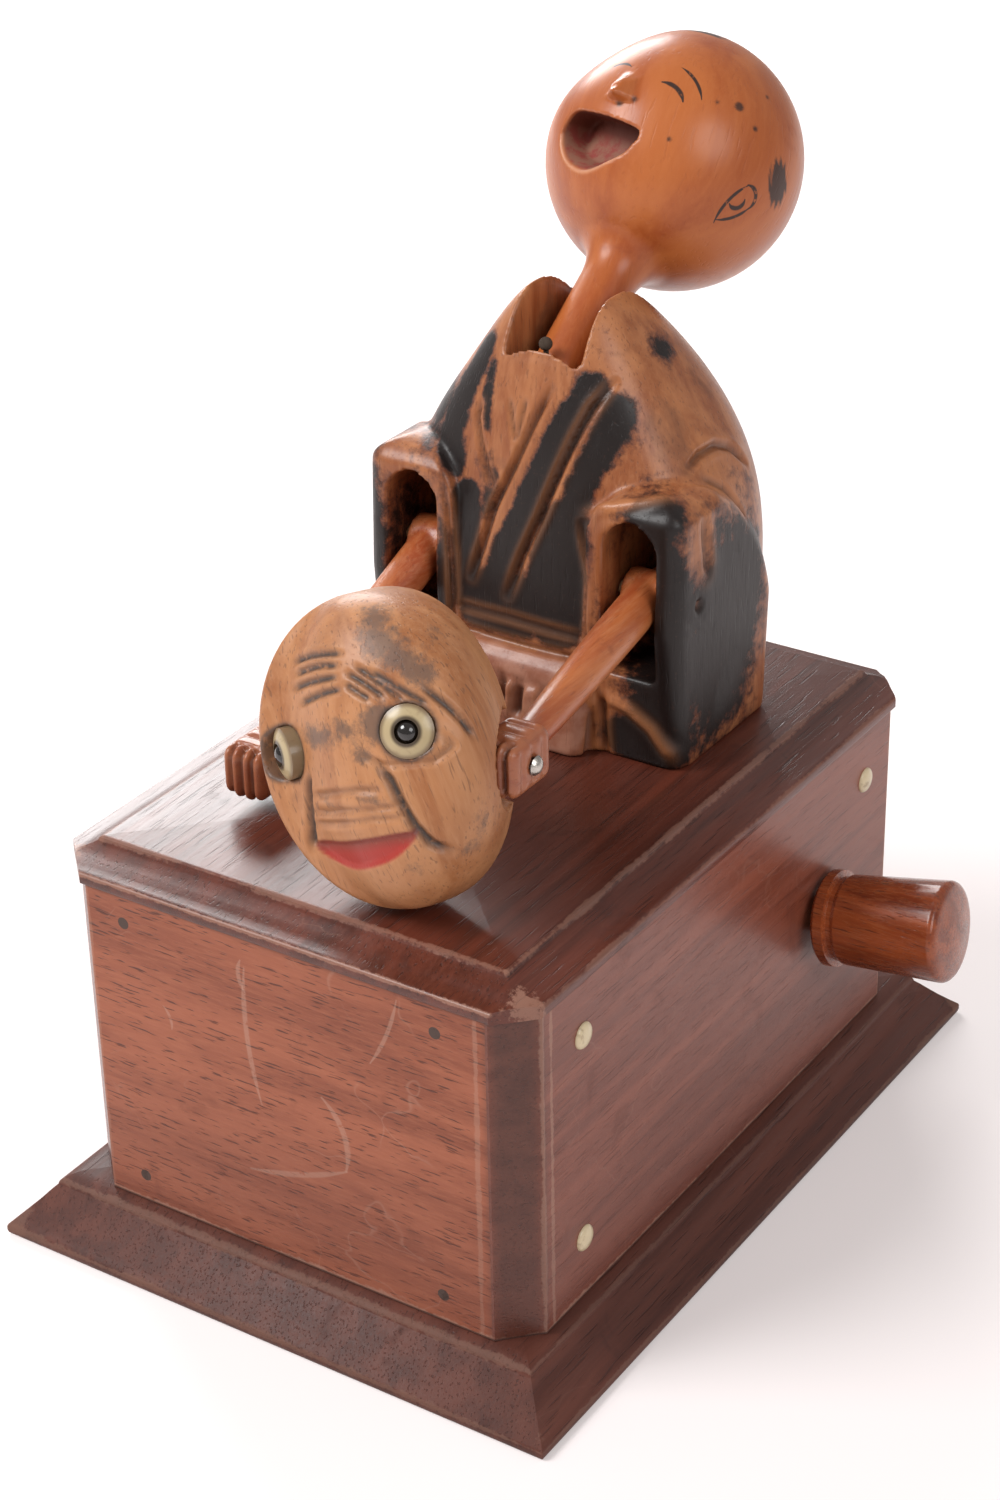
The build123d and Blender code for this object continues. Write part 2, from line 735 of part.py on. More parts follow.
def mouth_cut():
    """Open laughing mouth: nearly flat upper lip, round lower lip."""
    half = mouth_width / 2
    upper = ThreePointArc((-half, 0), (0, lip_bow), (half, 0))
    lower = ThreePointArc((half, 0), (0, -mouth_drop), (-half, 0))
    opening = Plane.XZ * Pos(0, mouth_drop / 2) * make_face(Curve() + [upper, lower])
    return on_face(face_turn, -mouth_fall) * extrude(opening, mouth_depth, both=True)


def nose():
    foot, bridge, tip = nose_width / 2, nose_bridge / 2, nose_tip_width / 2
    base = Polyline((-foot, 0), (foot, 0), (bridge, nose_height), (-bridge, nose_height), close=True)
    ridge = nose_tip_height
    point = Polyline((-tip, 0), (tip, 0), (tip / 2, ridge), (-tip / 2, ridge), close=True)
    form = loft([Plane.XZ.offset(-nose_sunk) * make_face(base),
                 Plane.XZ.offset(nose_reach) * make_face(point)])
    return on_face(nose_turn, nose_rise) * form


# ---- the list of pieces ----
def pieces():
    routes = thread_routes()
    return {
        "base_plinth": make_base(),
        "front_panel": make_end_panel(-1),
        "back_panel": make_end_panel(1),
        "right_panel": make_side_panel(1),
        "left_panel": make_side_panel(-1),
        "corner_posts": make_posts(),
        "lid": make_lid(),
        "right_bone_pegs": side_pegs(1),
        "left_bone_pegs": side_pegs(-1),
        "panel_nails": end_nails(-1) + end_nails(1),
        "spindle": make_spindle(),
        "spindle_stop_peg": make_stop_peg(),
        "knob": make_knob(),
        "right_arm_drum": make_drum(sleeve_x),
        "left_arm_drum": make_drum(-sleeve_x),
        "thread_windings": [make_winding(sleeve_x, drum_radius), make_winding(-sleeve_x, drum_radius),
                            make_winding(0, spindle_radius)],
        "right_arm_thread": make_thread(routes[0], tail_thickness / 2),
        "left_arm_thread": make_thread(routes[1], tail_thickness / 2),
        "head_thread": make_thread(routes[2], neck_radius),
        "robe": make_robe(),
        "robe_dowels": robe_dowels(),
        "arm_pins": [arm_pin(1), arm_pin(-1)],
        "neck_pin": neck_pin(),
        "right_arm": make_arm(1),
        "left_arm": make_arm(-1),
        "right_hand_nail": hand_nail(1),
        "left_hand_nail": hand_nail(-1),
        "mask": make_mask(),
        "mask_right_eye": make_eye(1),
        "mask_left_eye": make_eye(-1),
        "mask_right_pupil": make_pupil(1),
        "mask_left_pupil": make_pupil(-1),
        "head": make_head(),
    }


os.makedirs("parts", exist_ok=True)
for name, solid in pieces().items():
    shape = Compound(children=list(solid)) if isinstance(solid, list) else solid
    export_step(shape, f"parts/{name}.step")
    print(name, "written")
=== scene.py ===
import bpy
import bmesh
import json
import math
import numpy as np
from mathutils import Matrix, Vector


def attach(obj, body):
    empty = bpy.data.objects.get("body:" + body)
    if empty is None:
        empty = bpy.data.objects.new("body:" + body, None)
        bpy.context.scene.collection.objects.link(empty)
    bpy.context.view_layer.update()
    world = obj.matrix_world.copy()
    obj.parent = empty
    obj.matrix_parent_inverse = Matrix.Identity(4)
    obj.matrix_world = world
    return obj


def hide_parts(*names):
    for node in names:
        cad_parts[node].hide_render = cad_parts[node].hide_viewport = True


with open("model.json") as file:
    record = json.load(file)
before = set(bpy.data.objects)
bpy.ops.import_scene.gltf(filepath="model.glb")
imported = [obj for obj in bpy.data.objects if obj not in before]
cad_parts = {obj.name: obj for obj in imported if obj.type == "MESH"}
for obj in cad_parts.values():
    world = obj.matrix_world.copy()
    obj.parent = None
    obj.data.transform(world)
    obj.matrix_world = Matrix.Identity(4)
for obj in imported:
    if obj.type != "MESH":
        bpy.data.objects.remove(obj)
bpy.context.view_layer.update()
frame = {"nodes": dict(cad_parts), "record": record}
slots = {part["node"]: part["material_slot"] for part in frame["record"]["subparts"]}
bodyOf = {node: body for body, nodes in frame["record"]["behaviour"]["bodies"].items() for node in nodes}
mm = 0.001
print("frame loaded:", len(frame["nodes"]), "nodes")


# node helpers
def feed(tree, node, values):
    for key, value in values.items():
        if isinstance(value, bpy.types.NodeSocket):
            tree.links.new(value, node.inputs[key])
        else:
            node.inputs[key].default_value = value
    return node


def put(tree, kind, values=None, **settings):
    node = tree.nodes.new(kind)
    for key, value in settings.items():
        setattr(node, key, value)
    return feed(tree, node, values or {})


def calc(tree, operation, a, b=0.0):
    return put(tree, "ShaderNodeMath", {0: a, 1: b}, operation=operation).outputs[0]


def times(tree, a, b):
    return calc(tree, "MULTIPLY", a, b)


def plus(tree, a, b):
    return calc(tree, "ADD", a, b)


def minus(tree, a, b):
    return calc(tree, "SUBTRACT", a, b)


def vectorCalc(tree, operation, values, output=0):
    return put(tree, "ShaderNodeVectorMath", values, operation=operation).outputs[output]


def mixed(tree, factor, a, b):
    ends = [end if isinstance(end, bpy.types.NodeSocket) else (*end[:3], 1) for end in (a, b)]
    return put(tree, "ShaderNodeMix", {0: factor, 6: ends[0], 7: ends[1]}, data_type="RGBA").outputs[2]


def tint(tree, colour, mask, amount, over):
    return mixed(tree, times(tree, mask, amount), colour, over)


def ramp(tree, value, low, high, start=0.0, end=1.0):
    values = {"Value": value, "From Min": low, "From Max": high, "To Min": start, "To Max": end}
    return put(tree, "ShaderNodeMapRange", values, interpolation_type="SMOOTHSTEP").outputs[0]


def noise(tree, point, scale, detail=4.0, rough=0.55, distortion=0.0):
    values = {"Vector": point, "Scale": scale, "Detail": detail, "Roughness": rough,
              "Distortion": distortion}
    return put(tree, "ShaderNodeTexNoise", values).outputs[0]


def useGroup(tree, group, values):
    return put(tree, "ShaderNodeGroup", values, node_tree=group).outputs


# camera, solved on the box's edges; the frame is 1000 x 1500
cameraSetup = {
    "place": (0.164604, -0.246726, 0.210378),
    "right": (0.8375, 0.5462, -0.0187),
    "back": (0.4877, -0.7315, 0.4764),
    "focalPixels": 3033.76,
    "imageHeight": 1500,
    "sensor": 36.0,
}


def makeCamera(setup):
    right, back = Vector(setup["right"]).normalized(), Vector(setup["back"]).normalized()
    data = bpy.data.cameras.new("camera")
    data.sensor_width = setup["sensor"]
    data.lens = setup["focalPixels"] / setup["imageHeight"] * setup["sensor"]
    data.clip_start = 0.01
    camera = bpy.data.objects.new("camera", data)
    bpy.context.scene.collection.objects.link(camera)
    turn = Matrix((right, back.cross(right).normalized(), back)).transposed()
    camera.matrix_world = Matrix.Translation(setup["place"]) @ turn.to_4x4()
    bpy.context.scene.camera = camera


makeCamera(cameraSetup)

# light and floor
lightSetup = {
    "lamps": [
        {"place": (-0.45, -0.55, 0.75), "size": 0.5, "power": 8.0},
        {"place": (0.70, -0.25, 0.55), "size": 0.5, "power": 2.6},
        {"place": (-0.62, 0.55, 0.46), "size": 0.5, "power": 6.0},
    ],
    "aim": (0.0, 0.0, 0.05),
    "skyColour": (1.0, 0.97, 0.96),
    "skyStrength": 0.42,
    "backdropColour": (0.975, 0.93, 0.925),
    "floorColour": (0.74, 0.69, 0.685),
    "floorGlow": 0.26,
}


def makeStudio(setup):
    scene = bpy.context.scene
    scene.view_settings.view_transform = "Standard"
    for index, lamp in enumerate(setup["lamps"]):
        data = bpy.data.lights.new(f"lamp{index}", "AREA")
        data.shape = "DISK"
        data.size = lamp["size"]
        data.energy = lamp["power"]
        placed = bpy.data.objects.new(f"lamp{index}", data)
        placed.location = lamp["place"]
        away = Vector(lamp["place"]) - Vector(setup["aim"])
        placed.rotation_euler = away.to_track_quat("Z", "Y").to_euler()
        scene.collection.objects.link(placed)
    scene.world = bpy.data.worlds.new("studio")
    scene.world.use_nodes = True
    tree = scene.world.node_tree
    tree.nodes.clear()
    light = put(tree, "ShaderNodeBackground", {"Color": (*setup["skyColour"], 1),
                                               "Strength": setup["skyStrength"]})
    put(tree, "ShaderNodeOutputWorld", {"Surface": light.outputs[0]})
    mesh = bpy.data.meshes.new("floor")
    reach = 3.0
    mesh.from_pydata([(-reach, -reach, 0), (reach, -reach, 0), (reach, reach, 0), (-reach, reach, 0)], [],
                     [(0, 1, 2, 3)])
    floor = bpy.data.objects.new("floor", mesh)
    scene.collection.objects.link(floor)
    material = bpy.data.materials.new("paleFloor")
    material.use_nodes = True
    tree = material.node_tree
    tree.nodes.clear()
    path = put(tree, "ShaderNodeLightPath").outputs
    seen = calc(tree, "MAXIMUM", path["Is Camera Ray"], path["Is Glossy Ray"])
    glow = put(tree, "ShaderNodeEmission", {"Color": (*setup["backdropColour"], 1),
                                            "Strength": times(tree, seen, setup["floorGlow"])})
    paper = put(tree, "ShaderNodeBsdfDiffuse", {"Color": (*setup["floorColour"], 1)})
    both = put(tree, "ShaderNodeAddShader", {0: paper.outputs[0], 1: glow.outputs[0]})
    put(tree, "ShaderNodeOutputMaterial", {"Surface": both.outputs[0]})
    mesh.materials.append(material)


makeStudio(lightSetup)
print("camera, light and floor made")


# shared shader groups, all in millimetres
def newGroup(name, inputs, outputs):
    group = bpy.data.node_groups.new(name, "ShaderNodeTree")
    for label, kind, default in inputs:
        socket = group.interface.new_socket(name=label, in_out="INPUT", socket_type="NodeSocket" + kind)
        if default is not None:
            socket.default_value = default
    for label in outputs:
        group.interface.new_socket(name=label, in_out="OUTPUT", socket_type="NodeSocketFloat")
    return group, put(group, "NodeGroupInput").outputs, group.nodes.new("NodeGroupOutput")


def closeGroup(group, out, results):
    for label, socket in results.items():
        group.links.new(socket, out.inputs[label])
    return group


def makeGrainGroup():
    # the grain runs along the point's Z; Fine is fibre, Broad the figure, Pores short dark flecks
    group, given, out = newGroup("woodGrain", [("Point", "Vector", None), ("Stretch", "Float", 0.06),
                                               ("Scale", "Float", 1.0)], ["Fine", "Broad", "Pores"])
    parts = put(group, "ShaderNodeSeparateXYZ", {0: given["Point"]}).outputs
    along = times(group, parts[2], given["Stretch"])
    flat = put(group, "ShaderNodeCombineXYZ", {0: parts[0], 1: parts[1], 2: along}).outputs[0]
    fine = noise(group, flat, times(group, given["Scale"], 2.6), 5.0, 0.7, 0.3)
    broad = noise(group, flat, times(group, given["Scale"], 0.30), 3.0, 0.5, 0.8)
    pores = ramp(group, noise(group, flat, times(group, given["Scale"], 4.2), 1.0), 0.60, 0.72)
    return closeGroup(group, out, {"Fine": fine, "Broad": broad, "Pores": pores})


def makeWearGroup():
    # Distance is from an arris; Mask is 1 where it is rubbed
    group, given, out = newGroup("edgeWear", [("Point", "Vector", None), ("Distance", "Float", 0.0),
                                              ("Width", "Float", 0.6), ("Breakup", "Float", 0.5)], ["Mask"])
    speck = minus(group, noise(group, given["Point"], 1.3, 5.0, 0.7), 0.5)
    coarse = minus(group, noise(group, given["Point"], 0.14, 2.0), 0.5)
    rough = times(group, plus(group, speck, coarse), times(group, given["Breakup"], 4.0))
    share = calc(group, "DIVIDE", calc(group, "ABSOLUTE", given["Distance"]), given["Width"])
    near = minus(group, 1.0, share)
    closeIn = ramp(group, share, 1.0, 2.2, 1.0, 0.0)
    mask = times(group, ramp(group, plus(group, near, rough), 0.15, 0.6), closeIn)
    return closeGroup(group, out, {"Mask": mask})


def makeSmudgeGroup():
    group, given, out = newGroup("smudge", [("Point", "Vector", None), ("Scale", "Float", 0.12),
                                            ("Amount", "Float", 0.5)], ["Mask", "Specks"])
    cloud = noise(group, given["Point"], given["Scale"], 5.0, 0.62, 0.6)
    low = minus(group, 0.72, times(group, given["Amount"], 0.3))
    mask = ramp(group, cloud, low, plus(group, low, 0.16))
    specks = ramp(group, noise(group, given["Point"], 1.7, 3.0, 0.6), 0.66, 0.74)
    return closeGroup(group, out, {"Mask": mask, "Specks": specks})


def makeScratchGroup():
    group, given, out = newGroup("scratches", [("Point", "Vector", None), ("Scale", "Float", 0.07)],
                                 ["Mask"])
    wander = put(group, "ShaderNodeTexNoise", {"Vector": given["Point"], "Scale": 0.06,
                                               "Detail": 3.0}).outputs[1]
    pushed = vectorCalc(group, "SCALE", {0: wander, 3: 26.0})
    moved = vectorCalc(group, "ADD", {0: given["Point"], 1: pushed})
    cells = put(group, "ShaderNodeTexVoronoi", {"Vector": moved, "Scale": given["Scale"]},
                feature="DISTANCE_TO_EDGE").outputs[0]
    line = ramp(group, cells, 0.0, 0.013, 1.0, 0.0)
    rare = ramp(group, noise(group, given["Point"], 0.06, 3.0), 0.52, 0.62)
    return closeGroup(group, out, {"Mask": times(group, line, rare)})


def makeBrushGroup():
    # a painted line along a circle's arc; it thins towards its ends and is rubbed in places
    group, given, out = newGroup("brushArc", [("Point", "Vector", None), ("Centre", "Vector", None),
                                              ("Axis", "Vector", None), ("Middle", "Vector", None),
                                              ("Radius", "Float", 1.0), ("HalfAngle", "Float", 1.0),
                                              ("Width", "Float", 0.2)], ["Mask"])
    offset = vectorCalc(group, "SUBTRACT", {0: given["Point"], 1: given["Centre"]})
    height = vectorCalc(group, "DOT_PRODUCT", {0: offset, 1: given["Axis"]}, "Value")
    lifted = vectorCalc(group, "SCALE", {0: given["Axis"], 3: height})
    flat = vectorCalc(group, "SUBTRACT", {0: offset, 1: lifted})
    radial = vectorCalc(group, "LENGTH", {0: flat}, "Value")
    off = minus(group, radial, given["Radius"])
    gap = calc(group, "SQRT", plus(group, times(group, off, off), times(group, height, height)))
    towards = vectorCalc(group, "DOT_PRODUCT", {0: flat, 1: given["Middle"]}, "Value")
    share = calc(group, "DIVIDE", calc(group, "ARCCOSINE", calc(group, "DIVIDE", towards, radial)),
                 given["HalfAngle"])
    thin = times(group, given["Width"], ramp(group, share, 0.4, 1.0, 1.0, 0.35))
    line = ramp(group, calc(group, "DIVIDE", gap, thin), 0.5, 1.0, 1.0, 0.0)
    inside = ramp(group, share, 0.97, 1.03, 1.0, 0.0)
    worn = ramp(group, noise(group, given["Point"], 1.6, 3.0, 0.6), 0.28, 0.44)
    return closeGroup(group, out, {"Mask": times(group, times(group, line, inside), worn)})


grainGroup, wearGroup, smudgeGroup = makeGrainGroup(), makeWearGroup(), makeSmudgeGroup()
scratchGroup, brushGroup = makeScratchGroup(), makeBrushGroup()
print("shared shader groups made")


# materials
def startMaterial(name):
    material = bpy.data.materials.new(name)
    material.use_nodes = True
    tree = material.node_tree
    tree.nodes.clear()
    shader = put(tree, "ShaderNodeBsdfPrincipled", {"Specular IOR Level": 0.32})
    put(tree, "ShaderNodeOutputMaterial", {"Surface": shader.outputs[0]})
    point = vectorCalc(tree, "SCALE", {0: put(tree, "ShaderNodeTexCoord").outputs["Object"], 3: 1000.0})
    return material, tree, shader, point


def attribute(tree, name):
    return put(tree, "ShaderNodeAttribute", attribute_name=name).outputs["Fac"]


def finishSurface(tree, shader, colour, rough, height, depth, coat=0.0, coatRough=0.2):
    bump = put(tree, "ShaderNodeBump", {"Strength": 1.0, "Distance": depth * mm, "Height": height})
    feed(tree, shader, {"Base Color": colour, "Roughness": rough, "Normal": bump.outputs[0]})
    feed(tree, shader, {"Coat Weight": coat, "Coat Roughness": coatRough})


def woodNodes(tree, point, look):
    turned = put(tree, "ShaderNodeMapping", {"Vector": point, "Rotation": look["grain"]}).outputs[0]
    grain = useGroup(tree, grainGroup, {"Point": turned, "Stretch": look["stretch"],
                                        "Scale": look["scale"]})
    smudge = useGroup(tree, smudgeGroup, {"Point": point, "Scale": look["smudgeScale"],
                                          "Amount": look["smudge"]})
    colour = mixed(tree, ramp(tree, grain["Broad"], 0.3, 0.7), look["dark"], look["light"])
    colour = mixed(tree, ramp(tree, grain["Fine"], 0.4, 0.75, 0.0, look["fibre"]), colour, look["fleck"])
    colour = tint(tree, colour, grain["Pores"], look["pores"], look["pore"])
    colour = tint(tree, colour, smudge["Mask"], look["smudgeDepth"], look["smudgeColour"])
    height = minus(tree, times(tree, grain["Fine"], 0.5), times(tree, grain["Pores"], 0.7))
    rough = plus(tree, look["rough"], times(tree, minus(tree, grain["Fine"], 0.5), 0.3))
    rough = plus(tree, rough, times(tree, smudge["Mask"], 0.12))
    return colour, rough, height


def boxWood(name, look, edges=(), shadowLinesAndCorners=(), strokes=()):
    material, tree, shader, point = startMaterial(name)
    colour, rough, height = woodNodes(tree, point, look)
    parts = put(tree, "ShaderNodeSeparateXYZ", {0: point}).outputs
    across = {"x": calc(tree, "ABSOLUTE", parts[0]), "y": parts[1], "ay": calc(tree, "ABSOLUTE", parts[1]),
              "z": parts[2]}

    def gap(spots):
        total = None
        for axis, place in spots:
            away = calc(tree, "ABSOLUTE", minus(tree, across[axis], place))
            total = away if total is None else calc(tree, "MAXIMUM", total, away)
        return total

    scratch = useGroup(tree, scratchGroup, {"Point": point, "Scale": look["scratchScale"]})["Mask"]
    colour = tint(tree, colour, scratch, look["scratch"], look["wornColour"])
    for spots, width, breakup, amount in edges:
        mask = useGroup(tree, wearGroup, {"Point": point, "Distance": gap(spots), "Width": width,
                                          "Breakup": breakup})["Mask"]
        colour = tint(tree, colour, mask, amount, look["wornColour"])
        rough = plus(tree, rough, times(tree, mask, 0.15))
    # painted shadow lines along the given joins, and darker corner bands: each entry darkens towards a
    # near-black colour close to its lines
    for spots, width, amount in shadowLinesAndCorners:
        near = ramp(tree, gap(spots), width * 0.4, width, amount, 0.0)
        colour = mixed(tree, near, colour, look["shadowLineAndCornerColour"])
    for a, b, c, width in strokes:
        line = useGroup(tree, brushGroup, dict(arcThrough(a, b, c), Point=point, Width=width))["Mask"]
        colour = tint(tree, colour, line, 0.38, look["wornColour"])
    colour = mixed(tree, ramp(tree, across["z"], 8.0, 32.0, look["footShade"], 0.0), colour,
                   look["smudgeColour"])
    finishSurface(tree, shader, colour, rough, height, look["bump"], look["coat"], look["coatRough"])
    return material


# a painted or scratched stroke through three points
def arcThrough(a, b, c):
    a, b, c = Vector(a), Vector(b), Vector(c)
    u, v = b - a, c - a
    axis = u.cross(v)
    lift = axis.cross(u) * v.length_squared + v.cross(axis) * u.length_squared
    centre = a + lift / (2 * axis.length_squared)
    middle = (b - centre).normalized()
    half = max((a - centre).angle(middle), (c - centre).angle(middle))
    return {"Centre": centre, "Axis": axis.normalized(), "Middle": middle, "Radius": (b - centre).length,
            "HalfAngle": half}


alongX, alongY, alongZ = (0, math.pi / 2, 0), (math.pi / 2, 0, 0), (0, 0, 0)
plainLook = {
    "grain": alongZ, "stretch": 0.06, "scale": 1.0, "smudge": 0.5, "smudgeScale": 0.12, "smudgeDepth": 0.3,
    "smudgeColour": (0.18, 0.09, 0.05), "dark": (0.30, 0.16, 0.08), "light": (0.48, 0.30, 0.16),
    "fibre": 0.4, "fleck": (0.58, 0.40, 0.24), "pore": (0.14, 0.07, 0.04), "pores": 0.5, "rough": 0.62,
    "bump": 0.05, "scratch": 0.0, "scratchScale": 0.07, "wornColour": (0.5, 0.4, 0.33),
    # the near-black colour of the painted shadow lines and darker corner bands on the box
    "shadowLineAndCornerColour": (0.02, 0.012, 0.01), "coat": 0.0, "coatRough": 0.3, "footShade": 0.0,
}
frontLook = dict(plainLook, grain=alongX, stretch=0.10, scale=1.0, dark=(0.205, 0.050, 0.022),
                 light=(0.330, 0.096, 0.046), fibre=0.40, fleck=(0.43, 0.155, 0.082),
                 pore=(0.070, 0.016, 0.008), pores=0.85, rough=0.46, bump=0.05, smudgeDepth=0.35,
                 smudgeColour=(0.105, 0.030, 0.020), scratch=0.22, wornColour=(0.46, 0.27, 0.20), coat=0.12,
                 coatRough=0.35, footShade=0.30)
sideLook = dict(frontLook, grain=alongY, stretch=0.05, dark=(0.150, 0.034, 0.017),
                light=(0.245, 0.066, 0.036), fleck=(0.30, 0.10, 0.062), pores=0.4, rough=0.38, scratch=0.12,
                coat=0.3, coatRough=0.25)
lidLook = dict(frontLook, grain=alongY, stretch=0.045, scale=0.9, dark=(0.060, 0.014, 0.008),
               light=(0.125, 0.029, 0.016), fleck=(0.165, 0.048, 0.029), pore=(0.02, 0.007, 0.005),
               pores=0.45, rough=0.36, scratch=0.12, smudgeDepth=0.5, smudgeColour=(0.030, 0.010, 0.008),
               wornColour=(0.30, 0.145, 0.10), coat=0.3, coatRough=0.24)
baseLook = dict(lidLook, dark=(0.070, 0.019, 0.012), light=(0.140, 0.040, 0.024), rough=0.50, scratch=0.10,
                wornColour=(0.24, 0.125, 0.09), smudgeDepth=0.4, coat=0.0)
knobLook = dict(frontLook, grain=alongX, stretch=0.06, scale=1.3, dark=(0.15, 0.024, 0.007),
                light=(0.32, 0.066, 0.017), fleck=(0.42, 0.13, 0.04), pores=0.6, pore=(0.04, 0.010, 0.006),
                rough=0.26, coat=0.4, coatRough=0.14, smudgeDepth=0.2)

boxSizes = {"halfWidth": 30.0, "halfDepth": 42.3, "baseTop": 7.0, "panelTop": 46.4, "lidTop": 49.8,
            "chamfer": 5.4, "frontRightChamfer": 3.9}


# pale scratches on the front board, each through three points
scratchSetup = [
    ((-4.1, -42.3, 40.6), (-4.1, -42.3, 34.4), (-2.7, -42.3, 26.1), 0.42),
    ((15.3, -42.3, 45.4), (13.9, -42.3, 40.7), (12.0, -42.3, 37.0), 0.3),
    ((-4.9, -42.3, 17.1), (1.8, -42.3, 18.8), (7.9, -42.3, 21.5), 0.45),
    ((7.9, -42.3, 21.5), (7.9, -42.3, 26.2), (5.3, -42.3, 29.9), 0.5),
    ((-15.0, -42.3, 34.0), (-14.4, -42.3, 33.0), (-14.3, -42.3, 31.5), 0.25),
    ((-4.3, -42.3, 43.6), (-4.7, -42.3, 41.6), (-4.2, -42.3, 40.0), 0.35),
]


def makeBoxMaterials(sizes):
    x, y, foot, top, lid = (sizes[key] for key in ("halfWidth", "halfDepth", "baseTop", "panelTop",
                                                   "lidTop"))
    cut, fine = sizes["chamfer"], sizes["frontRightChamfer"]
    corners = [([("x", x), ("ay", y - cut)], 0.4, 0.5, 0.45),
               ([("x", x), ("ay", y - fine)], 0.35, 0.45, 0.5)]
    # painted shadow lines where the boards meet the base and run under the lid, and a darker band down the
    # corner chamfers
    shadowLinesAndCorners = [([("z", foot)], 0.30, 0.85), ([("z", top)], 0.30, 0.85),
             ([("x", x - 2.2), ("ay", y - 2.0)], 2.9, 0.6)]
    return {
        "panel_wood": boxWood("frontWood", frontLook, [([("z", foot)], 0.7, 0.5, 0.6),
                                                       ([("x", x - cut)], 0.4, 0.4, 0.3)], shadowLinesAndCorners,
                              scratchSetup),
        "side_wood": boxWood("sideWood", sideLook, corners + [([("z", foot)], 0.6, 0.5, 0.6)], shadowLinesAndCorners),
        "plain_wood": boxWood("plainWood", plainLook),
        "knob_wood": boxWood("knobWood", knobLook),
        "lid_wood": boxWood("lidWood", lidLook, [([("z", lid - 0.2), ("y", -(y - 4.4))], 0.4, 0.5, 0.5),
                                                 ([("z", top + 1.2), ("y", -(y + 0.4))], 0.35, 0.5, 0.75),
                                                 ([("z", lid - 0.2), ("x", x - 4.4)], 0.45, 0.5, 0.45),
                                                 ([("z", top + 1.2), ("x", x + 0.4)], 0.4, 0.5, 0.4),
                                                 ([("x", x - 0.5), ("ay", y - 2.0)], 2.2, 0.7, 0.8)]),
        "base_wood": boxWood("baseWood", baseLook, [([("z", 6.2), ("y", -(y + 1.4))], 0.55, 0.6, 0.55),
                                                    ([("z", 1.0), ("y", -(y + 6.2))], 0.45, 0.6, 0.6),
                                                    ([("z", 6.2), ("x", x + 1.4)], 0.3, 0.5, 0.35),
                                                    ([("z", 1.0), ("x", x + 5.8)], 0.35, 0.5, 0.55),
                                                    ([("x", x + 5.0), ("ay", y + 5.4)], 1.3, 0.7, 0.5)]),
    }


materials = makeBoxMaterials(boxSizes)


def simpleMaterial(name, light, dark, rough, metallic=0.0, coat=0.0, coatRough=0.1, speck=0.3, bump=0.02):
    material, tree, shader, point = startMaterial(name)
    spots = useGroup(tree, smudgeGroup, {"Point": point, "Scale": 0.6, "Amount": 0.7})
    colour = mixed(tree, times(tree, spots["Mask"], speck), light, dark)
    colour = tint(tree, colour, spots["Specks"], speck, dark)
    varied = plus(tree, rough, times(tree, spots["Mask"], 0.12))
    shader.inputs["Metallic"].default_value = metallic
    finishSurface(tree, shader, colour, varied, spots["Mask"], bump, coat, coatRough)
    return material


materials["bone"] = simpleMaterial("bone", (0.68, 0.56, 0.36), (0.22, 0.12, 0.055), 0.3, coat=0.4,
                                   speck=0.45)


# bone eye with a dark ring round the pupil; the ring is set on the eye's own axis
def eyeMaterial(name, centre, axis):
    material, tree, shader, point = startMaterial(name)
    away = vectorCalc(tree, "SUBTRACT", {0: point, 1: centre})
    along = vectorCalc(tree, "DOT_PRODUCT", {0: away, 1: axis}, "Value")
    flat = vectorCalc(tree, "SUBTRACT", {0: away, 1: vectorCalc(tree, "SCALE", {0: tuple(axis), 3: along})})
    radius = vectorCalc(tree, "LENGTH", {0: flat}, "Value")
    spots = useGroup(tree, smudgeGroup, {"Point": point, "Scale": 0.7, "Amount": 0.6})
    colour = mixed(tree, times(tree, spots["Mask"], 0.5), (0.44, 0.34, 0.19), (0.30, 0.21, 0.11))
    colour = mixed(tree, ramp(tree, radius, 1.35, 1.75, 0.9, 0.0), colour, (0.030, 0.016, 0.010))
    colour = mixed(tree, ramp(tree, radius, 2.15, 2.65, 0.0, 0.75), colour, (0.13, 0.075, 0.040))
    rough = plus(tree, 0.28, times(tree, spots["Mask"], 0.12))
    finishSurface(tree, shader, colour, rough, spots["Mask"], 0.01, 0.3, 0.15)
    return material


materials["iron"] = simpleMaterial("iron", (0.10, 0.07, 0.06), (0.04, 0.02, 0.015), 0.6, metallic=0.7)
materials["nail_metal"] = simpleMaterial("nailMetal", (0.52, 0.49, 0.45), (0.22, 0.17, 0.13), 0.24,
                                         metallic=0.95)
materials["black_horn"] = simpleMaterial("blackHorn", (0.008, 0.006, 0.005), (0.02, 0.014, 0.01), 0.08,
                                         coat=1.0, coatRough=0.03)
materials["thread"] = simpleMaterial("threadFibre", (0.060, 0.040, 0.028), (0.025, 0.016, 0.011), 0.85)


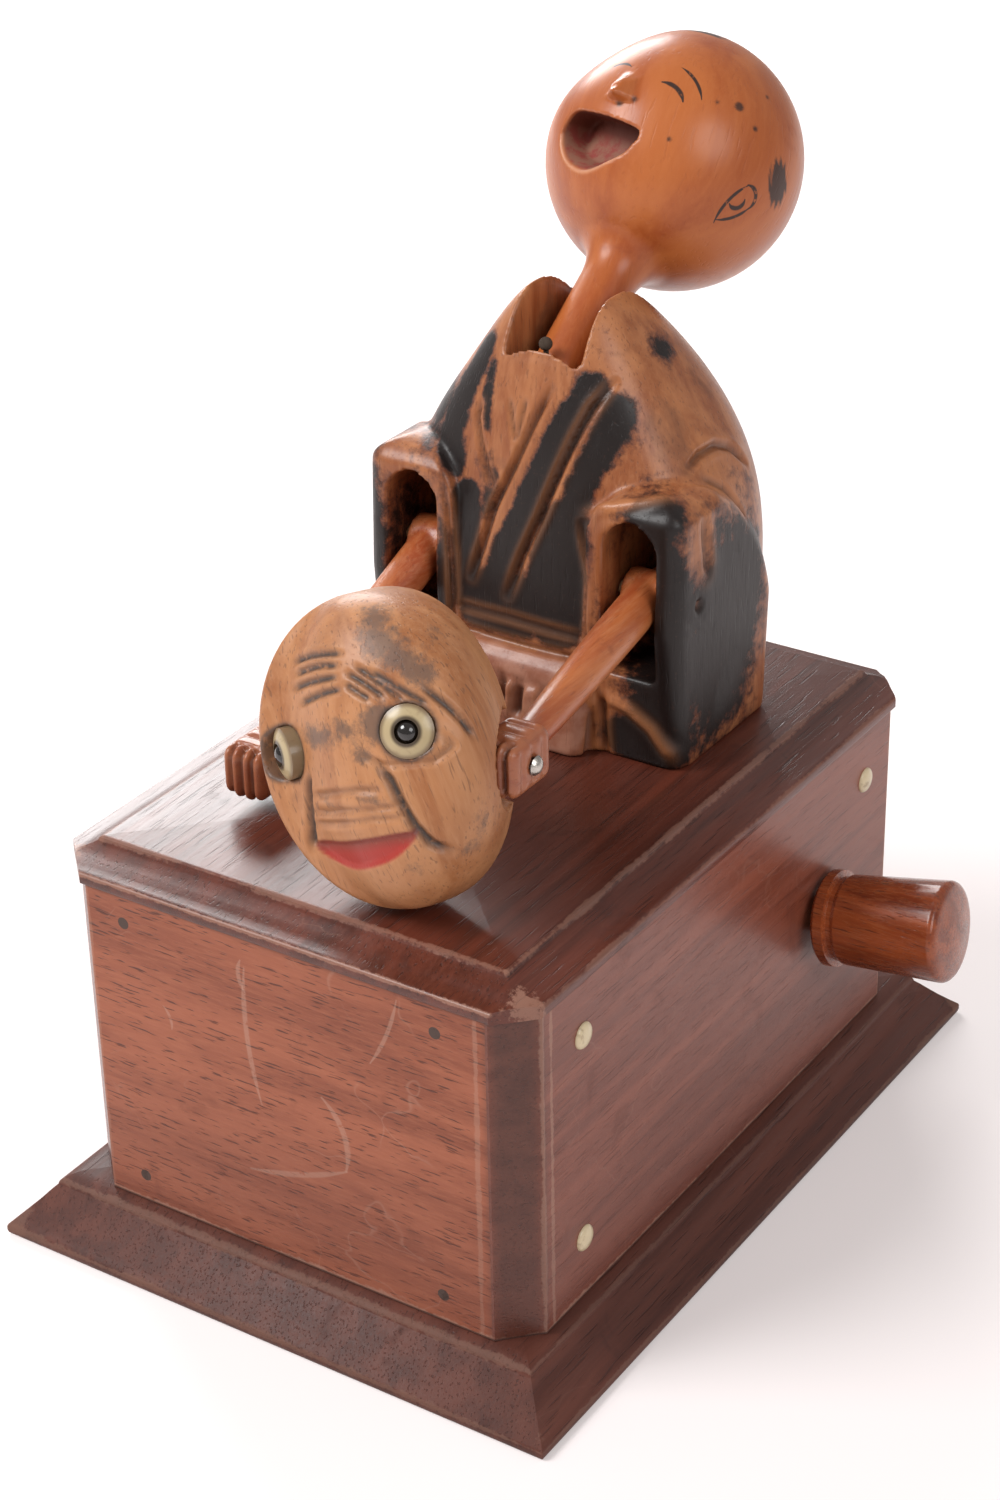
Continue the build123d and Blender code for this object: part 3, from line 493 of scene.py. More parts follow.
headSetup = {
    "ball": 14.38,
    "skin": 14.4,
    "centre": (0, 37.7, 106.8),
    "strokes": [
        ((3.1, 29.5, 118.2), (4.8, 29.7, 117.7), (6.0, 29.0, 116.5), 0.36),
        ((4.5, 31.9, 119.2), (6.1, 31.5, 118.2), (7.5, 30.4, 116.6), 0.26),
        ((-4.2, 30.2, 118.3), (-2.8, 30.8, 119.1), (-1.3, 30.4, 119.1), 0.28),
        ((-3.7, 33.1, 119.9), (-2.3, 33.2, 120.3), (-0.8, 32.8, 120.3), 0.2),
        ((10.6, 28.2, 104.5), (11.6, 29.2, 106.5), (12.9, 31.4, 107.8), 0.26),
        ((12.9, 31.4, 107.8), (13.4, 32.2, 106.5), (12.8, 31.3, 105.1), 0.34),
        ((12.8, 31.3, 105.1), (11.9, 29.9, 104.5), (10.6, 28.2, 104.5), 0.26),
        ((11.7, 29.3, 106.2), (12.2, 30.2, 105.5), (12.7, 30.9, 106.2), 0.34),
    ],
    "mirroredStrokes": [4, 5, 6, 7],
    "faceTurn": 12.0,
    "headTilt": 55.6,
    "mouth": [(-6.6, 27.3, 114.2), (-4.3, 26.5, 114.7), (-1.8, 25.8, 114.8), (0.5, 25.5, 114.5),
              (2.6, 25.4, 113.8), (1.9, 24.5, 112.3), (0.9, 24.1, 111.3), (-0.4, 23.8, 110.5),
              (-1.8, 23.7, 109.6), (-3.3, 23.8, 108.9), (-4.7, 24.2, 108.8), (-6.1, 24.9, 109.1),
              (-7.1, 25.6, 109.8), (-7.8, 26.3, 110.9), (-7.9, 27.0, 112.5)],
    "nose": [(0.7, 30.2, 118.7), (-3.0, 27.6, 116.1), (1.6, 27.5, 116.3), (-0.5, 27.0, 115.9),
             (-0.9, 25.0, 118.0), (-0.4, 30.5, 115.2)],
    "flat": ((-0.62, 0.05, 0.78), 1.1, 0.5),
    "mouthDepth": 4.2,
    "tufts": [((14.1, 35.7, 107.0), (3.0, 1.7, 2.7)), ((1.6, 41.5, 120.6), (2.6, 1.5, 2.0))],
    "spots": [((10.5, 33.3, 115.6), 0.55), ((8.8, 31.5, 116.3), 0.2), ((5.9, 26.3, 113.2), 0.25),
              ((11.4, 37.9, 115.6), 0.25), ((12.2, 33.8, 113.3), 0.32), ((-0.5, 26.9, 116.0), 0.5),
              ((1.0, 27.3, 116.5), 0.4)],
    "voxel": 0.25,
}


def mirrorAcrossFace(point, setup):
    # point on the head's other side, across the plane that the face looks along
    tilt = Matrix.Rotation(-math.radians(setup["headTilt"]), 3, "X")
    turn = Matrix.Rotation(-math.radians(setup["faceTurn"]), 3, "Z")
    normal = tilt @ turn @ Vector((1, 0, 0))
    offset = Vector(point) - Vector(setup["centre"])
    return Vector(point) - normal * 2 * offset.dot(normal)


def headMaterial(setup):
    material, tree, shader, point = startMaterial("headWood")
    look = dict(plainLook, grain=(math.radians(35), 0, 0), stretch=0.12, scale=0.55,
                dark=(0.33, 0.070, 0.014), light=(0.45, 0.125, 0.030), fibre=0.25,
                fleck=(0.52, 0.17, 0.050), pores=0.10, pore=(0.2, 0.05, 0.02), rough=0.38, smudge=0.45,
                smudgeScale=0.09, smudgeDepth=0.45, smudgeColour=(0.24, 0.040, 0.009), bump=0.02)
    colour, rough, height = woodNodes(tree, point, look)
    cavity = attribute(tree, "cavity")
    red = mixed(tree, ramp(tree, noise(tree, point, 0.5, 4.0, 0.65), 0.40, 0.60), (0.27, 0.052, 0.040),
                (0.27, 0.115, 0.075))
    colour = mixed(tree, cavity, colour, mixed(tree, attribute(tree, "shade"), red, (0.095, 0.018, 0.008)))
    colour = mixed(tree, attribute(tree, "rim"), colour, (0.62, 0.30, 0.17))
    strokes = list(setup["strokes"])
    strokes += [(*[mirrorAcrossFace(p, setup) for p in setup["strokes"][i][:3]],
                 setup["strokes"][i][3]) for i in setup["mirroredStrokes"]]
    paint = attribute(tree, "paint")
    for a, b, c, width in strokes:
        mask = useGroup(tree, brushGroup, dict(arcThrough(a, b, c), Point=point, Width=width))["Mask"]
        paint = calc(tree, "MAXIMUM", paint, mask)
    colour = tint(tree, colour, paint, 0.95, (0.020, 0.017, 0.017))
    dull = calc(tree, "MAXIMUM", paint, cavity)
    rough = plus(tree, rough, times(tree, cavity, 0.3))
    shine = times(tree, minus(tree, 1.0, dull), 0.25)
    finishSurface(tree, shader, colour, rough, height, look["bump"], shine, 0.24)
    return material


materials["head_wood"] = headMaterial(headSetup)


# mask material
def maskMaterial():
    material, tree, shader, point = startMaterial("maskWood")
    look = dict(plainLook, grain=(0, math.radians(24), 0), stretch=0.10, scale=0.8,
                dark=(0.33, 0.120, 0.042), light=(0.48, 0.215, 0.092), fibre=0.4, fleck=(0.52, 0.26, 0.13),
                pores=0.45, pore=(0.11, 0.05, 0.028), rough=0.44, smudge=0.5, smudgeScale=0.14,
                smudgeDepth=0.35, smudgeColour=(0.24, 0.105, 0.055), bump=0.035)
    colour, rough, height = woodNodes(tree, point, look)
    broken = minus(tree, noise(tree, point, 0.8, 6.0, 0.75), 0.5)
    smudge = ramp(tree, plus(tree, attribute(tree, "smudge"), times(tree, broken, 2.0)), 0.35, 1.05)
    colour = tint(tree, colour, smudge, 0.72, (0.080, 0.058, 0.050))
    lips = attribute(tree, "lips")
    worn = ramp(tree, noise(tree, point, 0.8, 4.0, 0.65), 0.60, 0.72)
    red = mixed(tree, attribute(tree, "lipTop"), (0.36, 0.030, 0.020), (0.24, 0.042, 0.026))
    colour = mixed(tree, lips, colour, mixed(tree, times(tree, worn, 0.5), red, (0.30, 0.10, 0.06)))
    lines = times(tree, attribute(tree, "lines"), ramp(tree, noise(tree, point, 1.1, 3.0), 0.28, 0.5, 0.45,
                                                       1.0))
    colour = mixed(tree, lines, colour, (0.055, 0.042, 0.038))
    finishSurface(tree, shader, colour, rough, height, look["bump"], 0.18, 0.35)
    return material


materials["mask_wood"] = maskMaterial()


# lacquered robe and stained arms
def robeMaterial():
    material, tree, shader, point = startMaterial("lacqueredWood")
    look = dict(plainLook, grain=alongZ, stretch=0.09, scale=0.8, dark=(0.25, 0.072, 0.024),
                light=(0.42, 0.160, 0.062), fibre=0.4, fleck=(0.47, 0.20, 0.085), pores=0.35,
                pore=(0.09, 0.03, 0.015), rough=0.40, smudge=0.55, smudgeScale=0.12, smudgeDepth=0.5,
                smudgeColour=(0.13, 0.050, 0.028), bump=0.03)
    colour, rough, height = woodNodes(tree, point, look)
    skin = attribute(tree, "skin")
    colour = mixed(tree, skin, colour, mixed(tree, ramp(tree, noise(tree, point, 0.35, 4.0), 0.35, 0.65),
                                             (0.27, 0.095, 0.052), (0.38, 0.175, 0.115)))
    fine = minus(tree, noise(tree, point, 0.75, 6.0, 0.72), 0.5)
    broad = minus(tree, noise(tree, point, 0.16, 3.0, 0.55), 0.5)
    breakup = plus(tree, times(tree, fine, 1.5), times(tree, broad, 1.1))
    cover = plus(tree, attribute(tree, "lacquer"), breakup)
    lacquer = ramp(tree, cover, 0.44, 0.80)
    stain = ramp(tree, cover, 0.14, 0.60)
    colour = tint(tree, colour, stain, 0.85, (0.085, 0.022, 0.012))
    specks = ramp(tree, noise(tree, point, 2.1, 3.0, 0.65), 0.60, 0.70, 0.0, 0.35)
    black = mixed(tree, specks, (0.0065, 0.0045, 0.0042), (0.045, 0.021, 0.014))
    colour = tint(tree, colour, lacquer, 0.97, black)
    colour = tint(tree, colour, attribute(tree, "groove"), 0.6, (0.045, 0.018, 0.010))
    colour = tint(tree, colour, attribute(tree, "ridge"), 0.55, (0.44, 0.17, 0.065))
    height = plus(tree, height, times(tree, lacquer, 1.6))
    gloss = minus(tree, 0.2, times(tree, lacquer, 0.08))
    rough = plus(tree, rough, times(tree, lacquer, 0.05))
    finishSurface(tree, shader, colour, rough, height, look["bump"], gloss, 0.24)
    return material


materials["lacquered_wood"] = robeMaterial()


def armMaterial():
    material, tree, shader, point = startMaterial("armWood")
    look = dict(plainLook, grain=alongY, stretch=0.10, scale=0.9, dark=(0.32, 0.062, 0.018),
                light=(0.50, 0.155, 0.048), fibre=0.4, fleck=(0.54, 0.23, 0.11), pores=0.25,
                pore=(0.15, 0.04, 0.02), rough=0.36, smudge=0.5, smudgeScale=0.2, smudgeDepth=0.45,
                smudgeColour=(0.22, 0.050, 0.022), bump=0.03)
    colour, rough, height = woodNodes(tree, point, look)
    fist = attribute(tree, "fist")
    colour = tint(tree, colour, fist, 0.55, (0.27, 0.095, 0.055))
    colour = tint(tree, colour, attribute(tree, "groove"), 0.7, (0.10, 0.035, 0.02))
    finishSurface(tree, shader, colour, rough, height, look["bump"], 0.35, 0.25)
    return material


materials["arm_wood"] = armMaterial()
print("materials made:", len(materials))


# mesh helpers
def evaluated(obj):
    graph = bpy.context.evaluated_depsgraph_get()
    return bpy.data.meshes.new_from_object(obj.evaluated_get(graph), depsgraph=graph)


def remesh(source, name, voxel, smooth=0):
    # even, closed copy of a mesh, in small quads
    work = bpy.data.objects.new(name, source)
    bpy.context.scene.collection.objects.link(work)
    modifier = work.modifiers.new("even", "REMESH")
    modifier.mode = "VOXEL"
    modifier.voxel_size = voxel * mm
    modifier.adaptivity = 0.0
    if smooth:
        soften = work.modifiers.new("soften", "SMOOTH")
        soften.factor = 0.5
        soften.iterations = smooth
    mesh = evaluated(work)
    bpy.data.objects.remove(work)
    return mesh


def readPoints(mesh):
    points = np.empty(len(mesh.vertices) * 3)
    mesh.vertices.foreach_get("co", points)
    normals = np.empty(len(mesh.vertices) * 3)
    mesh.vertices.foreach_get("normal", normals)
    return points.reshape(-1, 3) * 1000, normals.reshape(-1, 3)


def writePoints(mesh, points):
    mesh.vertices.foreach_set("co", (points * mm).ravel())
    mesh.update()


def setMask(mesh, name, values):
    layer = mesh.attributes.new(name, "FLOAT", "POINT")
    layer.data.foreach_set("value", np.clip(values, 0, 2).astype(np.float32))


def nearLine(points, line):
    # distance to a run of straight pieces, and the share of its length where that is
    line = np.array(line, float)
    spans = np.linalg.norm(np.diff(line, axis=0), axis=1)
    starts = np.concatenate([[0], np.cumsum(spans)])
    best, share = np.full(len(points), 1e9), np.zeros(len(points))
    for a, b, start, span in zip(line[:-1], line[1:], starts, spans):
        t = np.clip((points - a) @ (b - a) / span ** 2, 0, 1)
        gap = np.linalg.norm(points - (a + t[:, None] * (b - a)), axis=1)
        closer = gap < best
        best[closer] = gap[closer]
        share[closer] = (start + t * span)[closer] / starts[-1]
    return best, share


def carve(points, normals, cuts):
    # cut grooves along lines; a negative depth raises a ridge. Returns points and masks of both
    groove, ridge = np.zeros(len(points)), np.zeros(len(points))
    moved = points.copy()
    for line, width, depth in cuts:
        gap, share = nearLine(points, line)
        ends = np.clip(np.minimum(share, 1 - share) * 7 + 0.25, 0, 1)
        body = np.exp(-(gap / width) ** 2) * ends
        lip = np.exp(-((gap - 1.7 * width) / width) ** 2) * ends * 0.22
        moved -= normals * (depth * (body - lip))[:, None]
        if depth > 0:
            groove = np.maximum(groove, body)
            ridge = np.maximum(ridge, lip * 2.2)
        else:
            ridge = np.maximum(ridge, body)
    return moved, groove, ridge


def blobs(points, spots):
    total = np.zeros(len(points))
    for centre, radii, weight in spots:
        share = (points - np.array(centre)) / np.array(radii)
        total += weight * np.exp(-(share ** 2).sum(axis=1))
    return total


def insidePolygon(flat, polygon):
    inside = np.zeros(len(flat), bool)
    for (x0, y0), (x1, y1) in zip(polygon, np.roll(polygon, -1, axis=0)):
        crosses = (y0 > flat[:, 1]) != (y1 > flat[:, 1])
        inside ^= crosses & (flat[:, 0] < (x1 - x0) * (flat[:, 1] - y0) / (y1 - y0 + 1e-12) + x0)
    return inside


def smoothLoop(loop, steps=5):
    soft = []
    for i in range(len(loop)):
        a, b, c, d = (loop[(i + k) % len(loop)] for k in (-1, 0, 1, 2))
        for t in np.arange(steps) / steps:
            soft.append(b + 0.5 * t * (c - a + t * (2 * a - 5 * b + 4 * c - d + t * (3 * (b - c) + d - a))))
    return np.array(soft)


def polygonGap(flat, polygon):
    # distance inside a closed outline, negative outside it
    loop = np.vstack([polygon, polygon[:1]])
    flatPoints = np.column_stack([flat, np.zeros(len(flat))])
    gap = nearLine(flatPoints, np.column_stack([loop, np.zeros(len(loop))]))[0]
    return np.where(insidePolygon(flat, polygon), gap, -gap)


def addPiece(name, mesh, body, material, nodes):
    mesh.materials.clear()
    mesh.materials.append(material)
    mesh.shade_smooth()
    piece = bpy.data.objects.new(name, mesh)
    bpy.context.scene.collection.objects.link(piece)
    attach(piece, body)
    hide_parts(*nodes)
    return piece


# robe
robeSetup = {
    "voxel": 0.38,
    "smooth": 4,
    "cuts": [
        ([(2.1, 8.5, 90.2), (0.4, 7.4, 86.3), (-1.6, 6.4, 81.1), (-3.8, 5.7, 76.1), (-5.1, 5.2, 71.4),
          (-6.4, 4.9, 67.4)], 0.42, 0.85),
        ([(8.4, 11.0, 91.3), (6.9, 8.9, 88.7), (5.5, 7.6, 85.3), (4.1, 6.6, 81.5), (2.2, 5.7, 76.2),
          (0.2, 5.0, 71.3), (-1.5, 4.6, 66.4)], 0.42, 0.85),
        ([(-6.8, 8.3, 87.1), (-7.1, 7.8, 85.3), (-6.3, 7.1, 82.9), (-5.3, 6.5, 80.5), (-4.4, 6.1, 78.3)],
         0.34, 0.45),
        ([(-2.9, 7.9, 88.0), (-2.3, 7.4, 85.8), (-1.7, 7.0, 83.9)], 0.28, 0.35),
        ([(-0.9, 7.9, 88.4), (-1.2, 7.4, 86.1), (-1.5, 7.0, 84.0)], 0.28, 0.35),
        ([(7.3, 6.0, 76.7), (8.3, 5.0, 72.5), (8.7, 4.5, 70.0), (8.7, 4.4, 62.0), (8.7, 4.6, 55.0)], 0.36,
         0.6),
        ([(-9.7, 4.8, 78.4), (-9.0, 4.6, 74.8), (-8.7, 4.5, 69.0), (-8.7, 4.5, 60.8), (-8.7, 4.7, 54.0)],
         0.36, 0.6),
        ([(16.2, 13.2, 82.3), (16.3, 15.6, 83.1), (16.4, 18.9, 83.0), (16.7, 21.3, 81.9),
          (17.4, 23.7, 79.4)], 0.5, 0.7),
        ([(19.4, 9.6, 79.2), (20.2, 10.1, 76.1), (20.2, 10.8, 71.8)], 0.7, 0.5),
        ([(17.3, 14.5, 80.9), (18.3, 17.3, 78.8), (19.8, 20.2, 74.6)], 0.4, 0.35),
        ([(7.6, 6.3, 77.6), (9.6, 5.4, 79.0), (11.7, 4.9, 80.0), (14.7, 5.9, 80.9), (17.7, 8.0, 80.9)], 0.7,
         -0.35),
        ([(-8.6, 4.9, 63.6), (-1.2, 4.5, 63.9), (5.7, 4.6, 63.6), (8.0, 4.9, 63.6)], 0.4, 0.25),
        ([(-8.6, 4.9, 60.9), (0.0, 4.5, 60.9), (8.6, 4.9, 60.9)], 0.45, 0.7),
        ([(-1.1, 2.4, 57.4), (-1.0, 1.9, 55.6), (-1.2, 1.9, 54.2)], 0.6, 1.3),
        ([(1.3, 2.4, 57.2), (1.1, 1.9, 55.4), (0.9, 1.9, 53.3)], 0.6, 1.3),
        ([(-4.2, 2.4, 57.4), (-4.3, 1.9, 55.6), (-4.4, 1.9, 53.4)], 0.5, 0.7),
        ([(4.4, 2.4, 57.4), (4.2, 1.9, 55.6), (4.0, 1.9, 53.4)], 0.5, 0.7),
        ([(10.6, 4.7, 57.0), (10.4, 4.9, 53.2), (10.6, 5.2, 49.8)], 0.5, 0.7),
        ([(-10.6, 4.7, 57.0), (-10.4, 4.9, 53.2), (-10.6, 5.2, 49.8)], 0.5, 0.7),
        ([(10.8, 4.6, 57.3), (13.8, 4.7, 56.6), (16.8, 4.8, 54.7), (19.2, 5.4, 51.4)], 0.8, -0.5),
        ([(9.0, 4.8, 55.2), (9.0, 4.4, 52.0), (9.0, 4.0, 49.8)], 0.5, 0.6),
        ([(-17.3, 14.5, 80.9), (-18.3, 17.3, 78.8), (-19.8, 20.2, 74.6)], 0.6, 0.4),
    ],
    "bands": [
        ([(6.3, 10.0, 90.3), (4.6, 8.3, 86.5), (2.6, 7.0, 82.0), (0.6, 6.1, 77.0), (-1.6, 5.4, 72.0),
          (-3.0, 5.0, 68.0)], 2.0, 1.4),
        ([(9.3, 10.3, 88.3), (8.2, 8.6, 84.5), (7.0, 7.4, 81.0), (6.2, 6.8, 77.5)], 2.2, 1.15),
        ([(5.5, 5.6, 75.0), (4.8, 5.0, 70.0), (4.5, 4.6, 65.0)], 3.9, 1.5),
        ([(0.0, 5.0, 65.5), (-5.0, 5.0, 65.0)], 4.2, 1.5),
        ([(-7.3, 5.8, 77.0), (-7.2, 5.2, 72.0), (-7.0, 4.9, 66.0)], 1.7, 1.35),
        ([(-5.4, 6.5, 80.5), (-3.8, 6.0, 78.0), (-4.6, 5.7, 75.5)], 1.5, 0.85),
        ([(-8.3, 11.0, 92.0), (-9.9, 9.5, 87.5), (-10.8, 8.5, 83.0), (-9.8, 7.6, 79.5)], 2.2, 1.2),
        ([(-5.8, 10.0, 91.0), (-6.0, 8.6, 87.5), (-5.5, 7.9, 84.5)], 0.9, 0.95),
    ],
    "lacquer": [
        ((-1.0, 4.8, 66.0), (9.0, 8.0, 4.5), 1.2),
        ((18.3, 4.5, 64.0), (3.2, 2.4, 17.0), 1.5), ((16.6, 4.8, 79.6), (3.2, 3.0, 1.9), 1.3),
        ((20.4, 12.5, 62.5), (3.0, 6.0, 12.0), 1.5), ((20.4, 18.0, 66.0), (3.0, 6.0, 11.0), 1.0),
        ((13.5, 4.4, 52.6), (3.4, 3.0, 1.9), 1.2), ((-19.6, 7.0, 68.0), (2.2, 9.0, 15.0), 1.3),
        ((-9.5, 4.4, 67.0), (1.0, 3.0, 12.0), 0.9), ((0.0, 37.0, 70.0), (19.0, 9.0, 24.0), 1.2),
        ((9.6, 18.5, 92.6), (1.6, 2.4, 2.4), 0.95), ((-13.0, 12.0, 83.5), (2.6, 6.0, 5.5), 0.8),
        ((13.6, 11.0, 62.0), (3.0, 9.0, 18.0), 0.9), ((-13.6, 11.0, 62.0), (3.0, 9.0, 18.0), 0.7),
        ((0.0, 6.5, 52.5), (22.0, 2.0, 2.4), 0.7), ((0.0, 13.0, 98.0), (4.0, 6.0, 5.0), -0.4),
        ((14.0, 14.0, 88.0), (5.0, 8.0, 6.0), -0.3),
    ],
    "pinHoles": [((20.4, 9.0, 68.7), 0.75), ((-20.4, 9.0, 68.7), 0.75)],
}


def makeRobe(setup):
    mesh = remesh(frame["nodes"]["robe"].data.copy(), "robeWork", setup["voxel"], setup["smooth"])
    points, normals = readPoints(mesh)
    moved, groove, ridge = carve(points, normals, setup["cuts"])
    for centre, radius in setup["pinHoles"]:
        gap = np.linalg.norm(points - np.array(centre), axis=1) / radius
        dip = np.exp(-gap ** 4)
        moved -= normals * (0.6 * dip)[:, None]
        groove = np.maximum(groove, dip)
    writePoints(mesh, moved)
    lap = (np.abs(points[:, 0]) < 9.2) & (points[:, 1] < 5.6) & (points[:, 2] < 60.7)
    lacquer = blobs(points, setup["lacquer"])
    for line, radius, weight in setup["bands"]:
        gap = nearLine(points, line)[0]
        lacquer = np.maximum(lacquer, weight * np.exp(-(gap / radius) ** 4))
    lacquer -= 0.35 * ridge + 0.35 * groove
    lacquer[lap] = 0.0
    setMask(mesh, "lacquer", lacquer)
    setMask(mesh, "skin", lap.astype(float))
    setMask(mesh, "groove", groove)
    setMask(mesh, "ridge", ridge)
    return addPiece("carvedRobe", mesh, "root", materials["lacquered_wood"], ["robe"])


makeRobe(robeSetup)
print("robe carved")

# arms
armSetup = {
    "voxel": 0.26,
    "smooth": 3,
    "hands": {"right_arm": (18.508, -25.587, 65.796), "left_arm": (-15.527, -22.894, 54.366)},
    "fingerStep": 1.4,
    "fingerDepth": 0.8,
    "fingerWidth": 0.33,
}


def makeArm(node, setup):
    mesh = remesh(frame["nodes"][node].data.copy(), node + "Work", setup["voxel"], setup["smooth"])
    points, normals = readPoints(mesh)
    away = points - np.array(setup["hands"][node])
    across, ahead, up = away.T
    fist = np.clip(1.6 - np.abs(ahead) / 3.6, 0, 1) * np.clip(1.6 - np.abs(up) / 3.1, 0, 1)
    fingers = np.zeros(len(points))
    for step in (-1, 0, 1):
        between = np.exp(-((across - step * setup["fingerStep"]) / setup["fingerWidth"]) ** 2)
        fingers = np.maximum(fingers, between)
    fingers *= np.clip((-ahead - 1.6) / 0.8, 0, 1) * np.clip(4.4 - np.abs(up), 0, 1) * (ahead > -5.5)
    writePoints(mesh, points - normals * (setup["fingerDepth"] * fingers)[:, None])
    setMask(mesh, "fist", np.clip(fist * 1.5, 0, 1))
    setMask(mesh, "groove", fingers)
    return addPiece("carved" + node.title().replace("_", ""), mesh, bodyOf[node],
                    materials["arm_wood"], [node])


for node in ("right_arm", "left_arm"):
    makeArm(node, armSetup)
print("arms carved")

# mask
maskSetup = {
    "voxel": 0.26,
    "smooth": 2,
    "centre": (7.29, -30.54, 65.98),
    "roll": -24.0,
    "lean": -14.0,
    "grooves": [
        ([(-2.4, -32.9, 74.3), (0.0, -33.7, 75.8), (2.7, -34.6, 77.2), (4.8, -34.7, 77.8)], 0.35, 0.4),
        ([(-1.6, -33.7, 73.5), (0.5, -34.5, 74.9), (2.8, -35.2, 76.2), (4.8, -35.4, 76.8)], 0.35, 0.4),
        ([(-1.6, -34.3, 72.1), (0.9, -35.2, 73.8), (3.2, -35.9, 75.1), (5.1, -36.0, 75.9)], 0.35, 0.4),
        ([(0.1, -35.4, 71.3), (2.6, -36.3, 73.2), (4.3, -36.6, 74.3), (5.9, -36.6, 75.0)], 0.35, 0.4),
        ([(6.9, -35.2, 77.2), (8.9, -35.4, 76.6), (11.1, -35.4, 75.7), (12.7, -35.4, 75.0)], 0.35, 0.4),
        ([(8.7, -35.1, 77.1), (11.4, -35.0, 76.2), (13.4, -34.7, 75.4), (14.8, -34.4, 74.8)], 0.35, 0.4),
        ([(6.2, -35.7, 76.5), (8.1, -35.9, 76.1), (10.7, -36.0, 75.2)], 0.35, 0.4),
        ([(6.4, -36.3, 75.6), (7.9, -36.5, 75.2), (9.3, -36.5, 74.8)], 0.35, 0.4),
        ([(13.9, -33.8, 76.1), (15.8, -33.4, 74.9), (17.5, -32.7, 73.2), (18.6, -32.3, 71.4)], 0.4, 0.45),
        ([(11.7, -38.6, 69.1), (13.0, -38.6, 67.8), (14.4, -38.7, 65.6), (15.6, -38.6, 63.7),
          (17.1, -37.9, 61.7), (18.5, -36.7, 60.6)], 0.5, 0.75),
        ([(2.2, -37.4, 64.6), (2.2, -37.5, 62.5), (2.3, -37.6, 59.8), (2.6, -37.9, 56.8)], 0.45, 0.7),
    ],
    "bands": [
        ([(3.1, -37.9, 62.9), (6.9, -39.3, 65.0), (9.7, -39.6, 66.2), (12.2, -39.1, 66.8)], 0.4, 0.35),
        ([(3.1, -37.8, 60.9), (7.9, -39.6, 63.4), (11.4, -39.7, 64.6), (14.4, -38.8, 65.5)], 0.4, 0.35),
        ([(3.0, -37.8, 59.6), (7.8, -39.6, 62.0), (11.5, -39.8, 63.7), (14.8, -38.8, 64.4)], 0.4, 0.3),
        ([(9.8, -38.6, 69.9), (11.9, -38.5, 69.2), (14.5, -37.4, 69.6), (16.5, -36.2, 69.9),
          (17.7, -34.5, 71.1), (16.7, -34.8, 72.2)], 0.4, 0.35),
    ],
    "lips": [(2.7, -37.8, 57.5), (7.0, -39.1, 59.5), (11.5, -40.0, 61.7), (13.9, -39.4, 62.6),
             (16.1, -38.4, 63.0), (14.4, -39.4, 60.3), (11.8, -39.8, 58.4), (8.0, -38.7, 56.4),
             (4.5, -37.9, 56.3)],
    "smudges": [
        ((6.5, -30.9, 81.0), (2.6, 2.5, 1.6), 0.8), ((8.1, -33.2, 79.2), (2.6, 2.5, 1.8), 0.9),
        ((11.4, -33.3, 78.1), (2.6, 2.5, 1.6), 0.9), ((13.6, -33.3, 76.9), (1.6, 2.5, 1.2), 0.9),
        ((10.4, -36.9, 73.7), (1.8, 2.5, 1.4), 1.2), ((10.8, -36.8, 71.9), (1.3, 2.5, 1.2), 1.2),
        ((7.2, -37.9, 71.6), (2.4, 2.5, 1.3), 0.85), ((4.8, -38.0, 69.9), (2.4, 2.5, 1.3), 0.85),
        ((2.3, -37.0, 69.0), (2.2, 2.5, 1.4), 0.8), ((9.8, -38.8, 69.6), (1.4, 2.5, 0.9), 1.0),
        ((5.8, -38.9, 63.4), (2.6, 2.5, 0.8), 0.8), ((11.0, -39.4, 65.6), (2.4, 2.5, 0.8), 0.8),
        ((15.6, -38.8, 59.0), (1.4, 2.5, 1.6), 0.55), ((20.2, -33.1, 63.0), (0.9, 2.5, 2.6), 0.65),
        ((19.5, -35.0, 60.2), (1.2, 2.5, 1.2), 0.7), ((11.5, -28.3, 79.2), (2.4, 2.5, 1.2), 0.75),
        ((17.2, -35.6, 70.9), (1.6, 2.0, 1.0), 0.5),
    ],
    "eyes": [8.4, 1.8, 30.0, 2.7],
    "shell": (25.4, 8.6, 32.4),
}


def maskFrame(setup):
    turn = Matrix.Rotation(math.radians(setup["roll"]), 4,
                           "Y") @ Matrix.Rotation(math.radians(setup["lean"]), 4, "X")
    return np.array(Matrix.Translation(setup["centre"]) @ turn)


def toLocal(points, place):
    return (points - place[:3, 3]) @ place[:3, :3]


